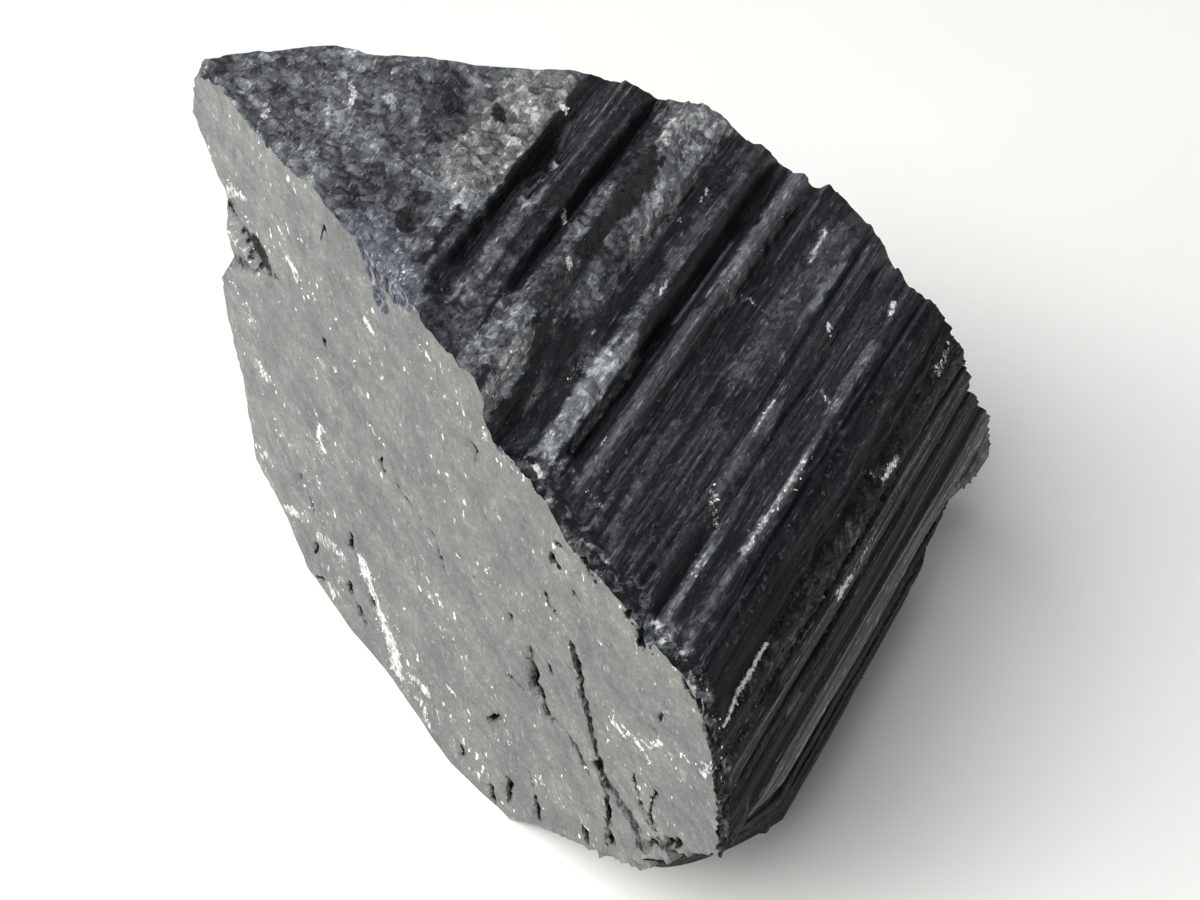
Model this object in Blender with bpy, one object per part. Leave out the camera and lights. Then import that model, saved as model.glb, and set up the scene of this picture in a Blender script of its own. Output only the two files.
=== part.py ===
# A loose chunk of raw black tourmaline (schorl), lying on one of its prism faces.
#
# The crystal's long axis runs along Y, so its ridges and grooves run along Y too. The near
# end is a flat sawn face, upright and set slantwise across the prism. The far end is a rough
# fracture. The whole chunk is one solid: an outline across the prism, carried from the sawn
# face to the fracture, and closed by a cap at each end.
#
# Lengths in this file are millimetres, turned into metres when the mesh is made.

import math

import bmesh
import bpy
import numpy as np
from mathutils import Vector, geometry, noise

METRES = 0.001
NODE = "tourmaline_crystal"

# The origin stands under the middle of the chunk's bounding box.
FOOTPRINT_MIDDLE = (-0.22, 1.56)

# The sawn face: a point on it and the way it runs, both in plan.
SAW_POINT = (-15.0, -0.1)
SAW_HEADING = math.radians(-26.15)
SAW_SLOPE = math.tan(SAW_HEADING)

# The lower corner beside the sawn face is broken off over this length. Above the corner's
# height the break is hollow, and below it the break runs on a little longer and straight.
CHIP_LENGTH = 9.0
CHIP_CORNER_HEIGHT = 11.0
CHIP_HOLLOW = 0.6
CHIP_SPREAD = 0.22

# The outline across the prism, clockwise from the upper left, as (x, z). Where the broken
# corner makes it differ, the first pair is at the sawn face and the second in the body.
UPPER = [
    [(-21.5, 36.9)],
    [(-20.4, 38.6)],
    [(-18.6, 39.0)],
    [(-15.2, 38.5)],
    [(-10.2, 39.0)],
    [(-6.2, 38.0)],
    [(-1.2, 37.5)],
    [(3.2, 37.2)],
    [(4.2, 35.6)],
    [(6.2, 34.2)],
    [(8.8, 33.4)],
    [(10.2, 32.4)],
    [(13.8, 31.9)],
    [(19.2, 31.6)],
]
RIGHT = [
    [(20.2, 29.8)],
    [(20.9, 27.5)],
    [(21.4, 24.6)],
    [(21.7, 20.1), (21.6, 17.2)],
    [(18.5, 16.5), (21.2, 14.4)],
    [(15.3, 11.0), (21.3, 11.0)],
    [(11.3, 6.7), (19.6, 6.0)],
    [(6.8, 2.7), (16.8, 1.2)],
]
BASE = [
    [(4.4, 0.0), (14.6, 0.0)],
    [(-11.1, 0.0), (-12.8, 0.0)],
]
LEFT = [
    [(-15.9, 1.3), (-16.8, 1.6)],
    [(-18.1, 5.0), (-19.2, 5.6)],
    [(-20.7, 6.9), (-20.4, 9.4)],
    [(-20.9, 13.8), (-21.2, 14.2)],
    [(-21.7, 19.0)],
    [(-21.6, 22.3)],
    [(-19.8, 25.4), (-20.4, 25.4)],
    [(-20.4, 28.4), (-20.8, 28.4)],
    [(-19.5, 30.6), (-20.6, 30.6)],
    [(-22.1, 34.8)],
]
OUTLINE = UPPER + RIGHT + BASE + LEFT

# Relief turns the outline's corners over this distance.
CORNER_SOFTNESS = 1.4
# A place along Y that is behind the broken corner at every point of the outline.
BEHIND_ALL = 30.0
# The upper and right faces run over this many of the outline's corners.
SHOWING_CORNERS = len(UPPER) + 6
# Widths of the strips that the sides are divided into: on those faces, on the hidden
# faces and on the flat resting face.
FINE_STRIP = 0.55
COARSE_STRIP = 1.5
BASE_STRIP = 3.0
ROWS = 15

# The fracture's upper edge in plan, as (x, y).
FAR_EDGE = [
    (-22.0, 3.4),
    (-20.0, 4.9),
    (-18.0, 5.6),
    (-15.2, 8.8),
    (-12.8, 8.3),
    (-9.0, 9.9),
    (-3.5, 13.4),
    (-0.8, 14.1),
    (0.6, 13.8),
    (3.4, 14.5),
    (4.5, 16.3),
    (7.6, 16.3),
    (9.4, 16.1),
    (10.8, 17.1),
    (14.3, 15.5),
    (17.8, 12.4),
    (19.4, 11.9),
    (22.0, 12.8),
]
# The fracture's profile down the right face, as (z, y), rising to it from the left.
RIGHT_END = [
    (0.0, 16.8),
    (9.6, 18.0),
    (11.4, 21.2),
    (13.0, 20.9),
    (17.0, 18.9),
    (23.0, 14.7),
    (27.5, 13.2),
    (31.6, 12.2),
]
RIGHT_END_RISE = 0.5
RIGHT_END_FADE = 4.2
RIGHT_FACE_X = 21.4
# Below its upper edge the fracture leans outward, down to a steep back.
FAR_LEAN = 0.72
FAR_LEAN_RIGHT = 0.42
LEAN_CHANGE = 8.0
LEAN_FADE = 5.0
BACK_MIDDLE = 18.6
BACK_TURN = 0.085
BACK_UNDERCUT = 0.22
BACK_FOOT = 9.0
RIM_FADE = 4.0
FAR_SCOOPS = [
    # x, z, radius, depth of the shell-shaped hollows
    (1.0, 17.0, 9.0, 1.5),
    (-13.0, 12.0, 6.5, 1.1),
    (13.5, 8.0, 6.0, 1.2),
]

# Grooves fade out over this length at their ends.
GROOVE_TAPER = 2.0

# Grooves of the upper face: middle x, width, depth, near end y, far end y.
UPPER_GROOVES = [
    (-1.75, 1.1, 1.15, -3.2, 8.6),
    (-1.25, 2.0, 0.60, 4.6, 14.0),
    (1.70, 1.0, 1.05, -3.4, 13.2),
    (5.40, 0.8, 0.55, 1.5, 16.5),
    (8.40, 1.3, 1.45, -8.9, 16.2),
    (10.40, 0.9, 0.55, -9.5, 17.0),
    (14.60, 0.6, 0.35, -14.0, 16.0),
    (16.15, 1.3, 0.85, -17.0, 15.0),
    (19.20, 1.2, 0.30, -19.0, 13.0),
]
# Ridges of the upper face, in the same order.
UPPER_RIDGES = [
    (0.0, 1.9, 0.35, -2.0, 14.0),
    (3.9, 2.4, 0.45, 2.0, 14.6),
    (7.1, 1.2, 0.30, -6.0, 16.0),
    (9.5, 0.9, 0.45, -9.0, 16.6),
    (13.2, 1.6, 0.35, -3.0, 14.0),
    (18.0, 0.8, 0.40, -16.0, 7.0),
]
# A black pocket opens toward the sawn face: narrow end and wide end as (x, y), and depth.
POCKET_TIP = (3.8, -1.2)
POCKET_MOUTH = (5.2, -9.4)
POCKET_HALF_WIDTH = 1.5
POCKET_TIP_SHARE = 0.3
POCKET_DEPTH = 1.3
# Left of this x the upper face is etched rough, over this width of change.
ETCHED_EDGE = -2.4
ETCHED_FADE = 1.5
# Bumps, as (height, distance between bumps, seed).
ETCHED_LUMPS = (0.42, 2.3, 3.1)
ETCHED_PITS = (0.34, 1.2, 7.7)
UPPER_STRIAE = (0.30, 0.9, 5.2)
UPPER_WEAR = (0.16, 1.6, 9.4)
RIGHT_STRIAE = (0.22, 0.8, 2.6)
RIGHT_WEAR = (0.30, 1.5, 6.6)
HIDDEN_STRIAE = (0.55, 2.2, 1.3)
HIDDEN_WEAR = (0.20, 2.0, 8.8)
FAR_LUMPS = (0.45, 4.0, 2.2)
FAR_GRAIN = (0.35, 1.9, 6.1)
FAR_RIM = (0.18, 1.4, 3.9)
SAWN_WAVES = (0.10, 4.0, 4.4)
SAWN_MARKS = (0.07, 1.6, 5.5)
# The hidden faces' ridges start this far above the resting face, rise over the next
# length, and fade over the last toward the sawn face.
BASE_CLEARANCE = 0.3
HIDDEN_FADE = 1.5
SAWN_EDGE_FADE = 4.0
# Ridges change this slowly along the crystal, as a share of their change across it.
STRIAE_STRETCH = 0.06
# The knob on the upper left corner: x, y, radius, height.
KNOB = (-19.8, 3.3, 1.5, 0.5)

# Grooves and ledges of the right face: middle z, width, depth, near end y, far end y.
RIGHT_GROOVES = [
    (28.6, 1.6, 0.35, -16.0, 13.0),
    (25.9, 0.7, 0.45, -14.0, 14.0),
    (22.9, 0.8, 0.50, -16.0, 16.0),
    (19.0, 2.6, 0.40, -15.0, 18.0),
    (17.2, 0.5, 0.45, -14.0, 18.5),
    (13.9, 0.8, 0.55, -10.0, 15.0),
    (12.3, 0.6, 0.40, -8.0, 12.0),
]
# The broken band along the right face: middle z and width.
RIGHT_BROKEN_BAND = (28.3, 5.0)
# A broken notch under the far end of the right face leaves a thin slab standing: the
# notch's middle y, its reach along Y, and its height.
SLAB_NOTCH = (14.6, 3.4, 3.6)
SLAB_CORNER = 5
SLAB_CORNER_WIDTH = 2.6

# Fissures in the sawn face, as (x, z) along each crack, with its width and depth.
FISSURES = [
    ([(10.6, 23.8), (11.3, 20.7), (12.2, 18.0), (13.0, 15.0), (13.4, 9.9)], 0.9, 1.3),
    ([(7.2, 19.0), (7.8, 16.6), (9.9, 15.3), (11.7, 14.3)], 0.9, 1.0),
    ([(12.9, 15.7), (15.2, 14.2)], 0.8, 0.7),
]
# Pits in the sawn face: x, z, radius, depth.
PITS = [
    (9.1, 29.7, 0.7, 0.7),
    (3.2, 8.7, 0.8, 0.7),
    (7.2, 5.0, 0.8, 0.8),
    (4.5, 3.0, 0.7, 0.7),
    (-9.9, 10.3, 0.7, 0.6),
    (-15.1, 10.7, 0.8, 0.6),
    (-11.1, 5.0, 0.9, 0.7),
]
# The hatched recess broken into the sawn face's left edge, and the swell at its foot.
RECESS_OUTER = (-20.6, 29.4)
RECESS_INNER = (-14.6, 25.6)
RECESS_HALF_WIDTH = 1.7
RECESS_TIP_SHARE = 0.3
RECESS_DEPTH = 1.8
FOOT_SWELL = 0.6
FOOT_SWELL_MIDDLE = -0.9
FOOT_SWELL_REACH = 6.0
FOOT_SWELL_HEIGHT = 5.0

# Distances between the points that fill each end, and along each crack.
CAP_PITCH_SAWN = 1.7
CAP_PITCH_FAR = 1.35
CRACK_PITCH = 0.9
CAP_ROW_SHARE = 0.87
CAP_JITTER = 0.25
CAP_LEAST_GAP = 0.5
END_STEPS = 12

SCHORL_COLOUR = (0.035, 0.036, 0.040, 1.0)
SCHORL_ROUGHNESS = 0.45


def clamp(value, low=0.0, high=1.0):
    return max(low, min(high, value))


def smooth_step(value):
    value = clamp(value)
    return value * value * (3.0 - 2.0 * value)


def mix(first, second, share):
    return first + (second - first) * share


def rough(x, y, z, bumps):
    # Smooth random bumps of the given height, distance apart and seed.
    height, spacing, seed = bumps
    place = Vector((x / spacing + seed, y / spacing - seed, z / spacing + 0.37 * seed))
    return height * noise.noise(place)


def saw_y(x):
    return SAW_POINT[1] + SAW_SLOPE * (x - SAW_POINT[0])


def groove(position, middle, width):
    # A flat-bottomed channel: 1 in its middle, 0 from its edges outward.
    return smooth_step(1.7 * (1.0 - abs(position - middle) / (0.5 * width)))


def along(y, start, end):
    # 1 between two ends. It rises over a taper at the near end and falls past the far end.
    return smooth_step((y - start) / GROOVE_TAPER) * smooth_step((end - y) / GROOVE_TAPER + 1.0)


def hollow(gap, half_width):
    # 1 over the middle third of a hollow, falling to 0 at its edge.
    return smooth_step(1.5 * (1.0 - gap / half_width))


def segment_place(x, z, start, end):
    # Share of the way along a segment, and the distance from it.
    run_x = end[0] - start[0]
    run_z = end[1] - start[1]
    share = ((x - start[0]) * run_x + (z - start[1]) * run_z) / (run_x ** 2 + run_z ** 2)
    share = clamp(share)
    gap = math.hypot(x - start[0] - share * run_x, z - start[1] - share * run_z)
    return share, gap


def upper_relief(x, y):
    # Height of the upper face above its outline.
    height = 0.0
    for middle, width, depth, start, end in UPPER_GROOVES:
        height -= depth * groove(x, middle, width) * along(y, start, end)
    for middle, width, rise, start, end in UPPER_RIDGES:
        height += rise * groove(x, middle, width) * along(y, start, end)
    share, gap = segment_place(x, y, POCKET_TIP, POCKET_MOUTH)
    half_width = POCKET_HALF_WIDTH * mix(POCKET_TIP_SHARE, 1.0, share)
    height -= POCKET_DEPTH * share * hollow(gap, half_width)
    etched = smooth_step((ETCHED_EDGE - x) / ETCHED_FADE)
    height += etched * (rough(x, y, 0.0, ETCHED_LUMPS) + rough(x, y, 0.0, ETCHED_PITS))
    striae = rough(x, y * STRIAE_STRETCH, 0.0, UPPER_STRIAE)
    height += (1.0 - etched) * (striae + rough(x, y, 0.0, UPPER_WEAR))
    knob_x, knob_y, knob_radius, knob_height = KNOB
    reach = math.hypot(x - knob_x, y - knob_y) / knob_radius
    return height + knob_height * smooth_step(1.0 - reach)


def right_relief(z, y):
    # Height of the right face above its outline.
    height = 0.0
    for middle, width, depth, start, end in RIGHT_GROOVES:
        height -= depth * groove(z, middle, width) * along(y, start, end)
    height += rough(z, y * STRIAE_STRETCH, 0.0, RIGHT_STRIAE)
    return height + groove(z, *RIGHT_BROKEN_BAND) * rough(z, y, 0.0, RIGHT_WEAR)


def hidden_relief(x, z, y):
    # Long ridges with slow changes along the crystal, fading toward the sawn face. The
    # resting face stays flat.
    lifted = smooth_step((z - BASE_CLEARANCE) / HIDDEN_FADE)
    behind = smooth_step((y - saw_y(x)) / SAWN_EDGE_FADE)
    height = rough(x, y * STRIAE_STRETCH, z, HIDDEN_STRIAE) + rough(x, y, z, HIDDEN_WEAR)
    return height * lifted * behind


def corner_at(corner, chip):
    sawn = corner[0]
    body = corner[-1]
    return mix(sawn[0], body[0], chip), mix(sawn[1], body[1], chip)


def outline_point(strip, y):
    # The plain outline at one strip. The broken corner heals over its length.
    index, share = strip
    first = OUTLINE[index]
    second = OUTLINE[(index + 1) % len(OUTLINE)]
    x_body = mix(first[-1][0], second[-1][0], share)
    x_sawn = mix(first[0][0], second[0][0], share)
    z_body = mix(first[-1][1], second[-1][1], share)
    heal = CHIP_LENGTH + CHIP_SPREAD * max(0.0, CHIP_CORNER_HEIGHT - z_body)
    curve = mix(1.0, CHIP_HOLLOW, clamp(z_body / CHIP_CORNER_HEIGHT))
    chip = 0.0
    for _ in range(6):
        chip = clamp((y - saw_y(mix(x_sawn, x_body, chip))) / heal) ** curve
    start = corner_at(first, chip)
    end = corner_at(second, chip)
    x = mix(start[0], end[0], share)
    z = mix(start[1], end[1], share)
    notch_y, notch_reach, notch_height = SLAB_NOTCH
    under_edge = groove(index + share, len(UPPER) + SLAB_CORNER, SLAB_CORNER_WIDTH)
    z += notch_height * under_edge * math.exp(-((y - notch_y) / notch_reach) ** 2)
    return x, z


def make_strips():
    # Strips around the outline, each as its corner's index and the share of the way on.
    strips = []
    base = len(UPPER) + len(RIGHT)
    for index in range(len(OUTLINE)):
        first = OUTLINE[index]
        second = OUTLINE[(index + 1) % len(OUTLINE)]
        length = max(math.dist(first[0], second[0]), math.dist(first[-1], second[-1]))
        pitch = FINE_STRIP if index < SHOWING_CORNERS else COARSE_STRIP
        if index == base:
            pitch = BASE_STRIP
        count = max(1, round(length / pitch))
        strips.extend((index, step / count) for step in range(count))
    return strips


def outward_directions(strips):
    # Outward direction in the outline's plane for each strip, softened across corners.
    points = np.array([outline_point(strip, BEHIND_ALL) for strip in strips])
    ahead = np.roll(points, -1, axis=0) - points
    normals = np.stack([-ahead[:, 1], ahead[:, 0]], axis=1)
    softened = []
    for point in points:
        gaps = np.sum((points - point) ** 2, axis=1)
        total = (normals * np.exp(-gaps / CORNER_SOFTNESS ** 2)[:, None]).sum(axis=0)
        softened.append(total / np.linalg.norm(total))
    return softened


def side_point(strip, direction, y):
    x, z = outline_point(strip, y)
    place = strip[0] + strip[1]
    if place < len(UPPER) - 1:
        rise = upper_relief(x, y)
    elif place < SHOWING_CORNERS:
        rise = right_relief(z, y)
    else:
        rise = hidden_relief(x, z, y)
    return x + direction[0] * rise, z + direction[1] * rise


def read_line(points, position):
    # The height of a line through points at one position along it.
    return float(np.interp(position, [point[0] for point in points], [point[1] for point in points]))


def upper_height(x):
    corners = [corner[0] for corner in UPPER]
    return read_line(corners, x)


def sawn_relief(x, z):
    # How far the sawn face stands out toward the near side at one place.
    out = rough(x, z, 0.0, SAWN_WAVES) + rough(x, z, 0.0, SAWN_MARKS)
    foot = smooth_step(1.0 - abs(x - FOOT_SWELL_MIDDLE) / FOOT_SWELL_REACH)
    out += FOOT_SWELL * foot * smooth_step(1.0 - z / FOOT_SWELL_HEIGHT)
    for points, width, depth in FISSURES:
        gaps = [segment_place(x, z, a, b)[1] for a, b in zip(points, points[1:])]
        out -= depth * hollow(min(gaps), 0.5 * width)
    for pit_x, pit_z, radius, depth in PITS:
        out -= depth * hollow(math.hypot(x - pit_x, z - pit_z), radius)
    share, gap = segment_place(x, z, RECESS_OUTER, RECESS_INNER)
    half_width = RECESS_HALF_WIDTH * mix(1.0, RECESS_TIP_SHARE, share)
    bowl = 4.0 * share * (1.0 - share)
    return out - RECESS_DEPTH * bowl * hollow(gap, half_width)


def near_y(x, z):
    return saw_y(x) - sawn_relief(x, z)


def far_y(x, z):
    # The fracture: its upper edge leans out to a steep back with shell-shaped hollows.
    drop = max(0.0, upper_height(x) - z)
    toward_right = smooth_step((x - LEAN_CHANGE) / LEAN_FADE)
    leaning = read_line(FAR_EDGE, x) + mix(FAR_LEAN, FAR_LEAN_RIGHT, toward_right) * drop
    back = BACK_MIDDLE + BACK_TURN * x - BACK_UNDERCUT * max(0.0, BACK_FOOT - z)
    for scoop_x, scoop_z, radius, depth in FAR_SCOOPS:
        reach = math.hypot(x - scoop_x, z - scoop_z) / radius
        back -= depth * max(0.0, 1.0 - reach ** 2)
    right = read_line(RIGHT_END, z)
    y = min(leaning, back, right + RIGHT_END_RISE * max(0.0, RIGHT_FACE_X - x))
    beside_right = smooth_step((x - RIGHT_FACE_X) / RIGHT_END_FADE + 1.0)
    y = mix(y, right, beside_right)
    inner = smooth_step(drop / RIM_FADE) * (1.0 - beside_right)
    y += inner * (rough(x, z, 0.0, FAR_LUMPS) + rough(x, z, 0.0, FAR_GRAIN))
    return y + rough(x, z, 0.0, FAR_RIM)


def end_y(strip, direction, end_surface):
    # Where one strip meets an end surface, found by going back and forth between them.
    y = 0.0
    for _ in range(END_STEPS):
        y = end_surface(*side_point(strip, direction, y))
    return y


def inside(point, polygon):
    x, z = point
    crossed = False
    for (x1, z1), (x2, z2) in zip(polygon, polygon[1:] + polygon[:1]):
        if (z1 > z) != (z2 > z) and x < x1 + (z - z1) / (z2 - z1) * (x2 - x1):
            crossed = not crossed
    return crossed


def crack_points(points, width):
    # Three rows of points: along the crack's bottom and along both its edges.
    placed = []
    for start, end in zip(points, points[1:]):
        length = math.dist(start, end)
        steps = max(1, round(length / CRACK_PITCH))
        across_x = -(end[1] - start[1]) / length * 0.55 * width
        across_z = (end[0] - start[0]) / length * 0.55 * width
        for step in range(steps):
            x = mix(start[0], end[0], (step + 0.5) / steps)
            z = mix(start[1], end[1], (step + 0.5) / steps)
            placed.extend((x + side * across_x, z + side * across_z) for side in (-1, 0, 1))
    return placed


def cap_points(polygon, pitch, cracks):
    # Inner points of a cap: a staggered, slightly uneven grid, and points along the cracks.
    edge = np.array(polygon)
    low = edge.min(axis=0)
    high = edge.max(axis=0)
    placed = [place for points, width, _ in cracks for place in crack_points(points, width)]
    crack_count = len(placed)
    row_pitch = CAP_ROW_SHARE * pitch
    for row in range(1, int((high[1] - low[1]) / row_pitch) + 1):
        for column in range(int((high[0] - low[0]) / pitch) + 1):
            x = low[0] + (column + 0.5 * (row % 2)) * pitch
            z = low[1] + row * row_pitch
            x += rough(row, column, 0.0, (CAP_JITTER * pitch, 0.7, 1.0))
            z += rough(row, column, 0.0, (CAP_JITTER * pitch, 0.7, 2.0))
            on_crack = any(
                math.dist((x, z), other) < CAP_LEAST_GAP * pitch for other in placed[:crack_count]
            )
            if not on_crack:
                placed.append((x, z))
    kept = []
    for x, z in placed:
        rim_gap = np.min(np.hypot(edge[:, 0] - x, edge[:, 1] - z))
        if rim_gap > CAP_LEAST_GAP * pitch and inside((x, z), polygon):
            kept.append((x, z))
    return kept


def add_cap(mesh, rim, surface, pitch, cracks):
    # Fill one end. The rim's vertices are shared with the sides.
    polygon = [(vertex.co.x, vertex.co.z) for vertex in rim]
    inner = cap_points(polygon, pitch, cracks)
    flat = [Vector(place) for place in polygon + inner]
    edges = [(step, (step + 1) % len(rim)) for step in range(len(rim))]
    result = geometry.delaunay_2d_cdt(flat, edges, [], 1, 1e-6)
    vertices = list(rim) + [mesh.verts.new((x, surface(x, z), z)) for x, z in inner]
    origins = result[3]
    for triangle in result[2]:
        mesh.faces.new([vertices[origins[corner][0]] for corner in triangle])


def build_chunk():
    strips = make_strips()
    directions = outward_directions(strips)
    mesh = bmesh.new()
    columns = []
    for strip, direction in zip(strips, directions):
        start = end_y(strip, direction, near_y)
        end = end_y(strip, direction, far_y)
        column = []
        for row in range(ROWS + 1):
            y = mix(start, end, row / ROWS)
            x, z = side_point(strip, direction, y)
            column.append(mesh.verts.new((x, y, z)))
        columns.append(column)
    for left, right in zip(columns, columns[1:] + columns[:1]):
        for row in range(ROWS):
            mesh.faces.new((left[row], right[row], right[row + 1], left[row + 1]))
    near_rim = [column[0] for column in columns]
    far_rim = [column[-1] for column in columns]
    add_cap(mesh, near_rim, near_y, CAP_PITCH_SAWN, FISSURES)
    add_cap(mesh, far_rim, far_y, CAP_PITCH_FAR, [])
    bmesh.ops.triangulate(mesh, faces=mesh.faces[:])
    bmesh.ops.recalc_face_normals(mesh, faces=mesh.faces[:])
    shift = Vector((-FOOTPRINT_MIDDLE[0], -FOOTPRINT_MIDDLE[1], 0.0))
    bmesh.ops.translate(mesh, verts=mesh.verts[:], vec=shift)
    bmesh.ops.scale(mesh, verts=mesh.verts[:], vec=(METRES, METRES, METRES))
    return mesh


def schorl_material():
    material = bpy.data.materials.new("black_schorl")
    material.use_nodes = True
    shader = material.node_tree.nodes["Principled BSDF"]
    shader.inputs["Base Color"].default_value = SCHORL_COLOUR
    shader.inputs["Roughness"].default_value = SCHORL_ROUGHNESS
    shader.inputs["Metallic"].default_value = 0.0
    material.diffuse_color = SCHORL_COLOUR
    return material


for old in list(bpy.data.objects):
    bpy.data.objects.remove(old, do_unlink=True)

solid = build_chunk()
chunk_mesh = bpy.data.meshes.new(NODE)
solid.to_mesh(chunk_mesh)
solid.free()
chunk_mesh.materials.append(schorl_material())
chunk = bpy.data.objects.new(NODE, chunk_mesh)
bpy.context.scene.collection.objects.link(chunk)
print(NODE, "triangles", len(chunk_mesh.polygons))
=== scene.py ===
# A loose chunk of raw black tourmaline (schorl), lying on one of its prism faces: ridged and
# partly etched sides, one flat sawn end toward the near left, and a rough fracture behind.
# Lengths are millimetres in the crystal's own place, where its long axis runs along Y.

import math

import bmesh
import bpy
import numpy as np
from mathutils import Matrix, Vector, geometry, noise


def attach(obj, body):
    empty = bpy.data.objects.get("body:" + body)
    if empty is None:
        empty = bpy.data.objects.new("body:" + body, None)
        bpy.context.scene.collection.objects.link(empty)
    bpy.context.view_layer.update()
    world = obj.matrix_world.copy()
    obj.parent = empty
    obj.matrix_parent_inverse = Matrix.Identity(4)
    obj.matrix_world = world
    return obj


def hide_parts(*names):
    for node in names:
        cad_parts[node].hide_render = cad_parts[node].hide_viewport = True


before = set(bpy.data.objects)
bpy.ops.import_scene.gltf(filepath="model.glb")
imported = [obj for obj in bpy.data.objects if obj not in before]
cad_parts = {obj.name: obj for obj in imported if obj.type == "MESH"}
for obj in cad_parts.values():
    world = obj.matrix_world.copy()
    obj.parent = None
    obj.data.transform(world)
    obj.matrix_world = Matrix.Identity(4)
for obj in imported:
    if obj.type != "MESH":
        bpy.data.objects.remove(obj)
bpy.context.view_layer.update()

metres = 0.001  # one millimetre

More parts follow.
